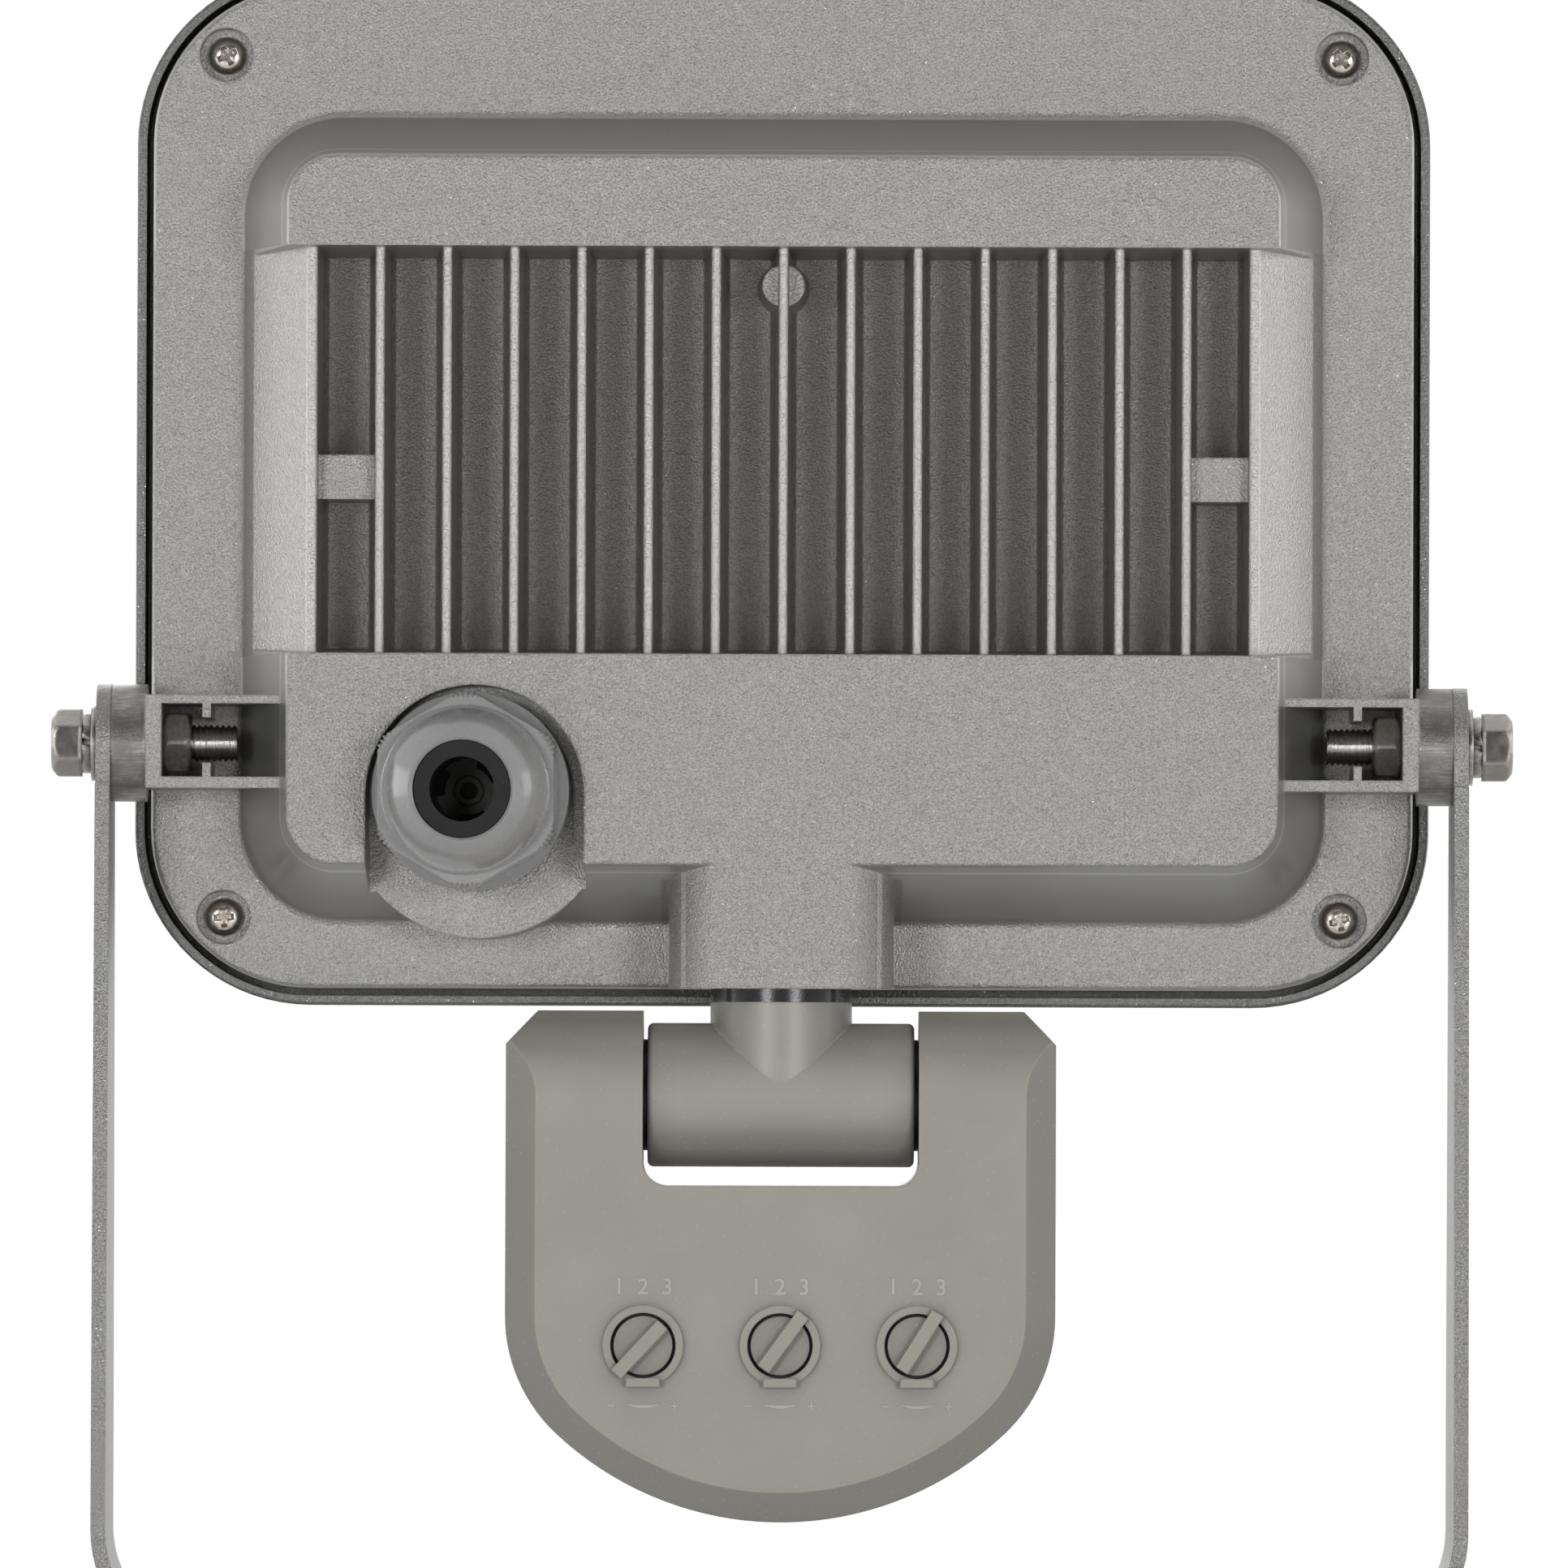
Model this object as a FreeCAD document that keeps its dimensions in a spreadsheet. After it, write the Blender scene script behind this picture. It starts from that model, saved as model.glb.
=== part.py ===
import FreeCAD, Part
import math
import os
import Sketcher

# A motion sensor floodlight seen as it hangs in its bracket.
# The origin is the middle of the bracket base's outer face, Z points up, the lamp shines towards -Y.
# The lamp's pieces are drawn about the tilt axis, and the sensor's about its own hinge axis.

SIZES = [
    # bracket
    ("pivot_height", 124.4, "bracket base to tilt axis"),
    ("bracket_clearance", 2.7, "between the bezel's rim and each arm"),
    ("bracket_sheet", 2.0, "strip thickness"),
    ("bracket_bend", 15.0, "inner bend radius"),
    ("base_strip", 28.0, "strip width at the base"),
    ("arm_strip", 20.0, "strip width under the ear"),
    ("ear_radius", 8.1, "round end of each arm"),
    ("ear_shoulder", 5.6, "shoulder below the tilt axis"),
    ("wall_slot_width", 6.5, "fixing slot width"),
    ("wall_slot_length", 20.0, "fixing slot, end to end"),
    ("wall_slot_spacing", 90.0, "between the fixing slots"),
    # tilt hardware
    ("bolt_radius", 2.5, "M5"),
    ("bolt_play", 0.25, "tilt bolt in its holes"),
    ("bolt_length", 21.2, "under the head"),
    ("head_flats", 8.0, "bolt head across flats"),
    ("head_height", 4.2, "bolt head"),
    ("hex_crown", 0.94, "round top of a bolt head or nut, of its width across flats"),
    ("washer_radius", 5.25, "flat washer"),
    ("washer_sheet", 0.8, "flat washer thickness"),
    ("spring_radius", 4.2, "spring washer"),
    ("spring_sheet", 1.25, "spring washer thickness"),
    ("spring_split", 0.9, "split in the spring washer"),
    ("nut_flats", 8.0, "nut across flats"),
    ("nut_height", 4.0, "nut thickness"),
    # rear housing
    ("flange_width", 173.4, "housing flange"),
    ("flange_height", 138.0, "housing flange"),
    ("flange_corner", 21.8, "corner radius"),
    ("flange_rise", 35.6, "flange centre above the tilt axis"),
    ("flange_setback", 8.5, "flange back face in front of the tilt axis"),
    ("flange_depth", 6.7, "flange back to housing front"),
    ("flange_edge", 0.8, "rounding of the flange's back edge"),
    ("floor_wall", 3.0, "wall behind the light chamber"),
    ("raised_height", 20.0, "flange to the flat bands"),
    ("raised_width", 148.6, "foot of the raised section"),
    ("raised_bottom", 24.2, "foot below the tilt axis"),
    ("raised_top", 86.4, "foot above the tilt axis"),
    ("raised_corner", 14.0, "foot corner radius"),
    ("band_width", 135.2, "flat top of the raised section"),
    ("band_bottom", 16.6, "flat top's lower edge below the tilt axis"),
    ("band_top", 80.2, "flat top's upper edge above the tilt axis"),
    ("band_corner", 6.5, "flat top corner radius"),
    ("band_edge", 0.7, "rounding of the flat top's edge"),
    ("raised_foot", 1.2, "hollow corner round the raised section's foot"),
    ("band_wall", 2.2, "wall behind the bands"),
    # fins
    ("bay_bottom", 12.2, "fin bay's lower end above the tilt axis"),
    ("bay_top", 67.8, "fin bay's upper end above the tilt axis"),
    ("bay_depth", 19.0, "band to fin bay floor"),
    ("bay_draft", 2.7, "draft of the bay's ends, degrees"),
    ("fin_drop", 2.5, "fin tops below the bands"),
    ("fin_tip", 1.27, "fin thickness at its top"),
    ("fin_root", 2.3, "fin thickness at its root"),
    ("fin_pitch", 9.175, "fin spacing"),
    ("fin_count", 13, "fins between the two lips"),
    ("fin_sink", 0.6, "fins run this far into the bands"),
    ("fin_edge", 0.28, "broken edge of a fin's top"),
    ("fin_foot", 0.7, "cast corner between a fin and the bay floor"),
    ("ramp_foot", 5.0, "side ramp's low edge above the flange"),
    ("bridge_bottom", 33.3, "bridge block above the tilt axis"),
    ("bridge_height", 6.1, "bridge block"),
    ("bridge_drop", 3.0, "bridge below the fin tops"),
    ("pin_boss_radius", 3.5, "ejector boss at its foot"),
    ("pin_boss_height", 13.0, "ejector boss"),
    ("pin_boss_upper", 62.7, "upper ejector boss above the tilt axis"),
    ("pin_boss_lower", 9.6, "lower ejector boss above the tilt axis"),
    # bolt pockets
    ("lug_radius", 8.05, "round lug that meets the bracket"),
    ("lug_length", 4.8, "round lug"),
    ("pocket_wall", 2.2, "outer wall of the bolt pocket"),
    ("pocket_upper", 5.3, "pocket above the tilt axis"),
    ("pocket_lower", 4.7, "pocket below the tilt axis"),
    ("pocket_roof", 1.2, "upper rib thickness"),
    ("pocket_sill", 1.55, "lower rib thickness"),
    ("pocket_rise", 17.0, "pocket ribs above the flange"),
    ("keeper_gap", 5.6, "room for the nut"),
    ("keeper_rib", 1.15, "nut keeper rib thickness"),
    ("keeper_reach", 1.9, "nut keeper rib, how far it stands in"),
    # corner screws
    ("corner_screw_side", 10.0, "corner screws from the flange's sides"),
    ("corner_screw_end", 9.7, "corner screws from the flange's ends"),
    ("well_radius", 3.7, "screw well"),
    ("well_depth", 3.4, "screw well"),
    ("screw_play", 0.2, "M3 screw in its hole"),
    ("screw_radius", 1.5, "M3"),
    ("screw_head", 2.65, "pan head radius"),
    ("screw_head_height", 1.9, "pan head"),
    ("screw_length", 8.5, "under the head"),
    ("screw_dome", 0.45, "domed part of a screw head, of its height"),
    ("cross_reach", 0.7, "cross recess, of the head's radius"),
    ("cross_width", 0.36, "arm of the cross recess, of the head's radius"),
    ("cross_depth", 0.6, "cross recess, of the head's height"),
    # front
    ("rim_gap", 1.0, "between flange and bezel rim"),
    ("rim_wall", 1.3, "bezel rim thickness"),
    ("rim_setback", 3.0, "rim's rear edge in front of the flange's back face"),
    ("bezel_lip", 2.5, "bezel front wall"),
    ("bezel_round", 1.6, "rounding of the bezel's front edge"),
    ("rim_edge", 0.45, "rounding of the rim's rear edge"),
    ("window_lap", 4.0, "bezel over the glass's edge"),
    ("window_corner", 16.0, "bezel opening corner radius"),
    ("window_bevel", 1.2, "bevel round the opening"),
    ("glass_lap", 4.0, "glass over the housing's edge"),
    ("glass_corner", 20.0, "front glass corner radius"),
    ("glass_sheet", 4.0, "front glass"),
    ("front_gasket", 0.8, "between bezel and glass"),
    ("rear_gasket", 1.5, "between glass and housing"),
    ("gasket_width", 3.4, "both gaskets"),
    ("rib_wall", 1.2, "glass locating rib"),
    ("rib_gap", 0.3, "between glass and its rib"),
    ("bezel_boss", 3.4, "screw boss radius in the bezel"),
    ("screw_spare", 0.4, "room under the screw in the bezel boss"),
    # light chamber
    ("chamber_side", 12.7, "housing opening from the flange's sides"),
    ("chamber_end", 12.0, "housing opening from the flange's ends"),
    ("chamber_corner", 17.0, "housing opening corner radius"),
    ("board_width", 112.0, "led board"),
    ("board_height", 50.0, "led board"),
    ("board_sheet", 1.5, "led board"),
    ("board_rise", 39.5, "led board centre above the tilt axis"),
    ("led_side", 3.0, "led chip"),
    ("led_height", 0.7, "led chip"),
    ("led_columns", 10, "leds side by side"),
    ("led_rows", 5, "leds one above the other"),
    ("led_margin_side", 4.0, "leds from the reflector's sides"),
    ("led_margin_end", 3.5, "leds from the reflector's ends"),
    ("reflector_sheet", 0.8, "reflector"),
    ("reflector_gap", 0.7, "reflector to the chamber's wall"),
    ("mouth_side", 10.0, "reflector opening from the led board's sides"),
    ("mouth_end", 2.0, "reflector opening from the led board's ends"),
    ("reflector_foot", 1.4, "reflector collar on the led board"),
    ("reflector_clearance", 0.3, "reflector to the glass"),
    ("board_screw_inset", 4.0, "led board's screws from its edges"),
    ("board_screw_head", 2.4, "led board screw head radius"),
    ("board_screw_rise", 1.2, "led board screw head"),
    ("board_screw_depth", 3.0, "led board screw in the housing"),
    # driver room
    ("room_left", 24.0, "driver room's side by the gland"),
    ("room_half", 64.3, "driver room's far side from the middle"),
    ("room_bottom", 14.2, "driver room below the tilt axis"),
    ("room_top", 9.8, "driver room above the tilt axis"),
    ("upper_room_bottom", 70.4, "hollow behind the upper band"),
    ("upper_room_top", 77.6, "hollow behind the upper band"),
    ("driver_width", 46.0, "driver board"),
    ("driver_height", 20.0, "driver board"),
    ("driver_sheet", 1.6, "driver board"),
    ("driver_margin", 2.0, "driver pieces from the room's sides"),
    ("transformer_width", 15.0, "transformer"),
    ("transformer_rise", 13.0, "transformer"),
    ("capacitor_radius", 4.0, "capacitor"),
    ("capacitor_length", 14.0, "capacitor"),
    ("choke_radius", 5.0, "choke"),
    ("choke_rise", 5.0, "choke"),
    ("terminal_width", 12.0, "terminal block"),
    ("terminal_rise", 9.0, "terminal block"),
    # cable gland
    ("gland_x", 42.2, "gland axis from the middle"),
    ("gland_drop", 6.6, "gland axis below the tilt axis"),
    ("gland_tilt", 2.5, "the seat leans outwards, degrees"),
    ("seat_x", 41.5, "gland seat disc"),
    ("seat_drop", 8.2, "gland seat disc below the tilt axis"),
    ("seat_radius", 18.4, "gland seat disc"),
    ("seat_level", 2.5, "gland seat behind the tilt axis"),
    ("seat_wall", 3.0, "wall under the gland"),
    ("arch_radius", 14.9, "arched recess round the gland"),
    ("arch_drop", 7.0, "arch centre below the tilt axis"),
    ("ledge_radius", 13.1, "washer recess in the arch"),
    ("ledge_height", 1.6, "washer recess depth"),
    ("ledge_end", 13.9, "ledge's lower end below the tilt axis"),
    ("gland_hole", 10.2, "hole for the gland"),
    ("gland_thread", 10.0, "M20 thread radius"),
    ("gland_bore", 6.75, "bore of the gland body"),
    ("gland_collar", 13.5, "gland body collar radius"),
    ("gland_collar_height", 5.4, "gland body collar"),
    ("gland_washer_height", 2.0, "gland sealing washer"),
    ("gland_nut_flats", 24.0, "gland nut across flats"),
    ("gland_nut_corner", 13.25, "gland nut corner radius"),
    ("gland_nut_height", 10.0, "hexagonal part of the gland nut"),
    ("gland_nut_gap", 0.6, "gap under the gland nut"),
    ("gland_nut_bore", 9.4, "gland nut bore"),
    ("gland_rim", 1.2, "straight rim of the nut's mouth"),
    ("gland_spigot", 9.2, "threaded end of the gland body"),
    ("gland_spigot_gap", 1.0, "spigot ends below the dome"),
    ("gland_tail", 8.0, "thread inside the housing"),
    ("gland_washer_gap", 1.0, "sealing washer in its recess"),
    ("gland_dome", 11.5, "dome radius at its foot"),
    ("gland_dome_height", 8.4, "dome"),
    ("gland_dome_round", 10.4, "dome arc"),
    ("gland_mouth", 6.65, "opening in the dome"),
    ("seal_outer", 6.55, "rubber seal outside radius"),
    ("seal_bore", 4.4, "rubber seal hole radius, for an 8 mm cable"),
    ("seal_length", 15.6, "rubber seal"),
    ("seal_sink", 0.8, "rubber seal below the nut's mouth"),
    ("claw_inner", 6.8, "claw ring"),
    ("claw_outer", 8.4, "claw ring"),
    ("claw_height", 4.5, "claw ring"),
    ("claw_slot", 0.9, "slots in the claw ring"),
    ("claw_foot", 0.9, "solid foot of the claw ring"),
    ("claw_gap", 0.2, "nut round the claw ring"),
    ("dust_disc", 6.4, "dust disc radius"),
    ("dust_hole", 1.15, "dust disc hole radius"),
    ("dust_sheet", 0.8, "dust disc"),
    ("locknut_height", 4.0, "gland locknut"),
    # sensor stem
    ("stem_setback", 1.5, "stem axis behind the tilt axis"),
    ("stem_reach", 14.5, "sensor hinge axis below the flange"),
    ("spout_width", 30.7, "stem spout on the housing"),
    ("spout_round", 7.7, "shoulder radius of the spout"),
    ("spout_start", 2.0, "how far inside the raised section the spout starts"),
    ("neck_radius", 9.68, "stem neck"),
    ("barrel_radius", 9.82, "hinge barrel"),
    ("barrel_width", 36.4, "hinge barrel"),
    ("barrel_edge", 0.8, "rounding of the barrel's ends"),
    ("stem_tube", 4.5, "threaded tube radius"),
    ("stem_tube_hole", 4.7, "hole for the threaded tube"),
    ("stem_wire_hole", 3.0, "wire way radius"),
    ("stem_seal_height", 1.8, "rubber ring under the spout"),
    ("stem_nut_flats", 13.0, "stem locknut"),
    ("stem_nut_height", 4.0, "stem locknut"),
    ("stem_tube_end", 1.8, "threaded tube beyond its locknut"),
    # sensor head
    ("head_width", 75.0, "sensor head"),
    ("head_half_depth", 11.5, "hinge axis to the back face, and to the front face"),
    ("head_straight", 30.1, "straight sides below the hinge axis"),
    ("head_bottom", 58.2, "lowest point below the hinge axis"),
    ("head_side_round", 22.0, "side arcs at the bottom"),
    ("ear_chamfer_x", 4.3, "outer corner of each ear"),
    ("ear_chamfer_z", 4.6, "outer corner of each ear"),
    ("fork_floor", 12.4, "slot floor below the hinge axis"),
    ("fork_round", 3.2, "slot corner radius"),
    ("bevel_width", 4.1, "bevel round the back face"),
    ("bevel_depth", 3.0, "bevel round the back face"),
    ("face_round", 3.0, "rounding of the front face"),
    ("shell_wall", 2.0, "sensor shells"),
    ("cavity_top", 14.8, "sensor cavity below the hinge axis"),
    ("hinge_tube", 3.5, "hollow hinge pin radius"),
    ("hinge_tube_bore", 2.4, "hollow hinge pin bore"),
    ("hinge_tube_length", 14.0, "hollow hinge pin"),
    ("hinge_play", 0.08, "hinge pin in the barrel"),
    ("trunnion_depth", 7.3, "hinge pin hole in each ear"),
    ("disc_radius", 7.6, "friction disc"),
    ("disc_sheet", 0.55, "friction disc"),
    ("disc_play", 0.05, "friction disc to its ear"),
    # adjusters
    ("knob_pitch", 18.65, "between the knobs"),
    ("knob_drop", 34.1, "knobs below the hinge axis"),
    ("knob_radius", 4.0, "knob disc"),
    ("knob_sheet", 1.5, "knob disc"),
    ("knob_bar", 1.85, "pointer bar width"),
    ("knob_tip", 5.35, "pointer tip from the knob's axis"),
    ("knob_tail", 3.9, "pointer tail from the knob's axis"),
    ("knob_shaft", 1.5, "knob shaft"),
    ("knob_sink", 0.2, "knob disc below the back face"),
    ("knob_bar_height", 1.6, "pointer bar"),
    ("knob_clearance", 0.15, "pointer tip over its ring"),
    ("time_turn", 137.0, "time pointer from straight up, degrees"),
    ("sens_turn", -36.0, "sensitivity pointer from straight up, degrees"),
    ("lux_turn", -32.0, "daylight pointer from straight up, degrees"),
    ("collar_inner", 4.45, "raised ring round each knob"),
    ("collar_outer", 5.5, "raised ring round each knob"),
    ("collar_height", 0.6, "raised ring"),
    ("stop_width", 4.5, "stop lug under each knob"),
    ("stop_height", 1.4, "stop lug"),
    ("stop_depth", 1.2, "stop lug, radially"),
    ("pot_side", 9.0, "adjuster body"),
    # lens and works
    ("lens_half_width", 25.0, "lens"),
    ("lens_half_height", 19.0, "lens"),
    ("lens_bulge", 19.5, "lens from its flange"),
    ("lens_drop", 35.5, "lens centre below the hinge axis"),
    ("lens_wall", 1.0, "lens"),
    ("lens_lip", 1.8, "lens flange behind the shell"),
    ("lens_lip_sheet", 1.2, "lens flange thickness"),
    ("lens_gap", 0.1, "lens in its opening"),
    ("works_width", 52.0, "sensor board"),
    ("works_top", 16.6, "sensor board below the hinge axis"),
    ("works_height", 31.0, "sensor board"),
    ("works_sheet", 1.6, "sensor board"),
    ("element_radius", 4.6, "motion element"),
    ("element_height", 4.2, "motion element"),
    ("cell_radius", 2.5, "photocell"),
    ("cell_height", 2.2, "photocell"),
    ("cell_x", 14.0, "photocell from the middle"),
    ("relay_x", 15.0, "relay from the middle"),
    ("relay_width", 16.0, "relay"),
    ("relay_height", 10.0, "relay"),
    ("relay_depth", 8.0, "relay"),
    ("shell_screw", 10.0, "shell screw under its head"),
    ("shell_screw_head", 2.0, "shell screw head radius"),
    ("shell_screw_rise", 1.5, "shell screw head"),
    ("post_radius", 3.0, "screw posts in the shells"),
    ("post_hole", 1.0, "screw hole in the posts"),
    ("post_sink", 2.2, "screw head recess radius"),
    ("post_sink_depth", 3.5, "screw head recess"),
    ("post_bite", 0.3, "how far the posts run into the shell's outer wall"),
    ("post_upper_x", 30.5, "upper posts from the middle"),
    ("post_upper_drop", 17.5, "upper posts below the hinge axis"),
    ("post_lower_x", 29.0, "lower posts from the middle"),
    ("post_lower_drop", 40.2, "lower posts below the hinge axis"),
]

doc = FreeCAD.newDocument("floodlight")
sheet = doc.addObject("Spreadsheet::Sheet", "sizes")


class Size:
    """A number together with the spreadsheet formula that gives it."""

    def __init__(self, number, formula=None):
        self.number = float(number)
        self.formula = formula if formula else repr(float(number))

    def join(self, other, sign, result):
        other = other if isinstance(other, Size) else Size(other)
        return Size(result(self.number, other.number), "(%s %s %s)" % (self.formula, sign, other.formula))

    def __add__(self, other):
        return self.join(other, "+", lambda a, b: a + b)

    def __sub__(self, other):
        return self.join(other, "-", lambda a, b: a - b)

    def __mul__(self, other):
        return self.join(other, "*", lambda a, b: a * b)

    def __truediv__(self, other):
        return self.join(other, "/", lambda a, b: a / b)

    def __radd__(self, other):
        return Size(other) + self

    def __rsub__(self, other):
        return Size(other) - self

    def __rmul__(self, other):
        return Size(other) * self

    def __rtruediv__(self, other):
        return Size(other) / self

    def __neg__(self):
        return Size(-self.number, "(-%s)" % self.formula)


def sine(value):
    return Size(math.sin(math.radians(value.number)), "sin(%s)" % value.formula)


def cosine(value):
    return Size(math.cos(math.radians(value.number)), "cos(%s)" % value.formula)


class Sizes:
    """The spreadsheet's cells by name."""


s = Sizes()
for row, (name, number, note) in enumerate(SIZES, start=1):
    sheet.set("A%d" % row, note)
    sheet.set("B%d" % row, str(number))
    sheet.setAlias("B%d" % row, name)
    setattr(s, name, Size(number, "sizes.%s" % name))
doc.recompute()


# sizes that follow from others

s.bolt_hole = s.bolt_radius + s.bolt_play
s.screw_hole = s.screw_radius + s.screw_play
s.bracket_gap = s.flange_width + 2 * (s.rim_gap + s.rim_wall + s.bracket_clearance)
s.chamber_width = s.flange_width - 2 * s.chamber_side
s.chamber_height = s.flange_height - 2 * s.chamber_end
s.glass_width = s.chamber_width + 2 * s.glass_lap
s.glass_height = s.chamber_height + 2 * s.glass_lap
s.window_width = s.glass_width - 2 * s.window_lap
s.window_height = s.glass_height - 2 * s.window_lap
s.mouth_width = s.board_width - 2 * s.mouth_side
s.mouth_height = s.board_height - 2 * s.mouth_end
s.hinge_drop = s.flange_height / 2 - s.flange_rise + s.stem_reach
s.fork_gap = s.barrel_width + 2 * (s.disc_sheet + s.disc_play)


# helpers that draw and build from bound sizes

NORMALS = {"XY": 1, "XZ": -1, "YZ": 1}
ALONG_Y = FreeCAD.Rotation(FreeCAD.Vector(1, 0, 0), -90)
ALONG_X = FreeCAD.Rotation(FreeCAD.Vector(0, 1, 0), 90)
UPRIGHT = FreeCAD.Rotation()


def bind(thing, prop, value):
    value = value if isinstance(value, Size) else Size(value)
    thing.setExpression(prop, value.formula)


def new_body(label):
    body = doc.addObject("PartDesign::Body", label)
    body.Label = label
    return body


def origin_feature(body, role):
    return next(f for f in body.Origin.OriginFeatures if f.Role == role)


def new_sketch(body, plane, level=0.0):
    """A sketch across the given axis at a bound level along it."""
    sketch = body.newObject("Sketcher::SketchObject", "%s_sketch" % body.Label)
    sketch.AttachmentSupport = [(origin_feature(body, plane + "_Plane"), "")]
    sketch.MapMode = "FlatFace"
    level = level if isinstance(level, Size) else Size(level)
    bind(sketch, "AttachmentOffset.Base.z", level * NORMALS[plane])
    sketch.Label2 = plane
    return sketch


def tie(sketch, geometry, point, x, y):
    """Hold one point of a sketch at bound distances from its origin."""
    for kind, value in (("DistanceX", x), ("DistanceY", y)):
        value = value if isinstance(value, Size) else Size(value)
        index = sketch.addConstraint(Sketcher.Constraint(kind, -1, 1, geometry, point, value.number))
        sketch.setExpression("Constraints[%d]" % index, value.formula)


def vector(x, y):
    x = x.number if isinstance(x, Size) else x
    y = y.number if isinstance(y, Size) else y
    return FreeCAD.Vector(x, y, 0)


def set_radius(sketch, geometry, radius):
    radius = radius if isinstance(radius, Size) else Size(radius)
    index = sketch.addConstraint(Sketcher.Constraint("Radius", geometry, radius.number))
    sketch.setExpression("Constraints[%d]" % index, radius.formula)


def draw_circle(sketch, x, y, radius):
    circle = Part.Circle(vector(x, y), FreeCAD.Vector(0, 0, 1), radius.number)
    index = sketch.addGeometry(circle, False)
    tie(sketch, index, 3, x, y)
    set_radius(sketch, index, radius)


def draw_polygon(sketch, corners):
    """A closed outline with straight sides."""
    first = sketch.GeometryCount
    count = len(corners)
    for i in range(count):
        line = Part.LineSegment(vector(*corners[i]), vector(*corners[(i + 1) % count]))
        sketch.addGeometry(line, False)
    for i in range(count):
        sketch.addConstraint(Sketcher.Constraint("Coincident", first + i, 2, first + (i + 1) % count, 1))
        tie(sketch, first + i, 1, *corners[i])


def draw_rectangle(sketch, left, bottom, right, top):
    draw_polygon(sketch, [(left, bottom), (right, bottom), (right, top), (left, top)])


def draw_path(sketch, steps):
    """A closed outline of straight and round steps, each joined smoothly or sharply to the next.

    A step is ("line", x0, y0, x1, y1, join) or ("arc", cx, cy, radius, start, end, clockwise, join).
    """
    first = sketch.GeometryCount
    turned = []
    for step in steps:
        if step[0] == "line":
            sketch.addGeometry(Part.LineSegment(vector(*step[1:3]), vector(*step[3:5])), False)
            turned.append(False)
        else:
            cx, cy, radius, start, end, clockwise = step[1:7]
            circle = Part.Circle(vector(cx, cy), FreeCAD.Vector(0, 0, 1), radius.number)
            low, high = (end, start) if clockwise else (start, end)
            sketch.addGeometry(Part.ArcOfCircle(circle, math.radians(low), math.radians(high)), False)
            turned.append(clockwise)
    count = len(steps)
    for i in range(count):
        j = (i + 1) % count
        here = 1 if turned[i] else 2
        there = 2 if turned[j] else 1
        kind = "Tangent" if steps[i][-1] == "smooth" else "Coincident"
        sketch.addConstraint(Sketcher.Constraint(kind, first + i, here, first + j, there))
    for i, step in enumerate(steps):
        if step[0] == "arc":
            tie(sketch, first + i, 3, step[1], step[2])
    return first


def draw_rounded_rectangle(sketch, x, y, width, height, radius):
    """A rectangle with round corners about a centre."""
    across = width / 2 - radius
    up = height / 2 - radius
    half_w = width / 2
    half_h = height / 2
    steps = [
        ("line", x - across, y - half_h, x + across, y - half_h, "smooth"),
        ("arc", x + across, y - up, radius, 270, 360, False, "smooth"),
        ("line", x + half_w, y - up, x + half_w, y + up, "smooth"),
        ("arc", x + across, y + up, radius, 0, 90, False, "smooth"),
        ("line", x + across, y + half_h, x - across, y + half_h, "smooth"),
        ("arc", x - across, y + up, radius, 90, 180, False, "smooth"),
        ("line", x - half_w, y + up, x - half_w, y - up, "smooth"),
        ("arc", x - across, y - up, radius, 180, 270, False, "smooth"),
    ]
    first = draw_path(sketch, steps)
    for corner in (1, 3, 5, 7):
        set_radius(sketch, first + corner, radius)


def extrude(body, kind, sketch, length, along, taper=None):
    """Pad or pocket a sketch towards the positive (1) or negative (-1) end of its axis, or both ways (0)."""
    feature = body.newObject("PartDesign::" + kind, "%s_%s" % (body.Label, kind.lower()))
    feature.Profile = sketch
    bind(feature, "Length", length)
    if along == 0:
        feature.SideType = "Symmetric"
    else:
        with_normal = along == NORMALS[sketch.Label2]
        feature.Reversed = with_normal if kind == "Pocket" else not with_normal
    if taper is not None:
        bind(feature, "TaperAngle", taper)
    return feature


def pad(body, sketch, length, along, taper=None):
    return extrude(body, "Pad", sketch, length, along, taper)


def pocket(body, sketch, length, along, taper=None):
    return extrude(body, "Pocket", sketch, length, along, taper)


def revolve(body, sketch, axis, kind="Revolution"):
    feature = body.newObject("PartDesign::" + kind, "%s_turned" % body.Label)
    feature.Profile = sketch
    feature.ReferenceAxis = (origin_feature(body, axis + "_Axis"), [""])
    feature.Angle = 360
    return feature


def loft(body, first, second, kind="AdditiveLoft"):
    feature = body.newObject("PartDesign::" + kind, "%s_loft" % body.Label)
    feature.Profile = first
    feature.Sections = [second]
    feature.Ruled = True
    return feature


def edges_where(body, wanted):
    """Names of the edges whose middle point passes the test."""
    names = []
    for index, edge in enumerate(body.Shape.Edges, start=1):
        middle = edge.valueAt((edge.FirstParameter + edge.LastParameter) / 2)
        ends = [vertex.Point for vertex in edge.Vertexes]
        if wanted(middle, ends):
            names.append("Edge%d" % index)
    return names


def round_edges(body, radius, wanted):
    doc.recompute()
    base = body.Tip
    names = edges_where(base, wanted)
    feature = body.newObject("PartDesign::Fillet", "%s_round" % body.Label)
    feature.Base = (base, names)
    bind(feature, "Radius", radius)
    return feature


def bevel_edges(body, size, depth, wanted, flip=False):
    doc.recompute()
    base = body.Tip
    names = edges_where(base, wanted)
    feature = body.newObject("PartDesign::Chamfer", "%s_bevel" % body.Label)
    feature.Base = (base, names)
    feature.ChamferType = "Two distances"
    feature.FlipDirection = flip
    bind(feature, "Size", size)
    bind(feature, "Size2", depth)
    return feature


def near(a, b, slack=0.01):
    b = b.number if isinstance(b, Size) else b
    return abs(a - b) < slack


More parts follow.
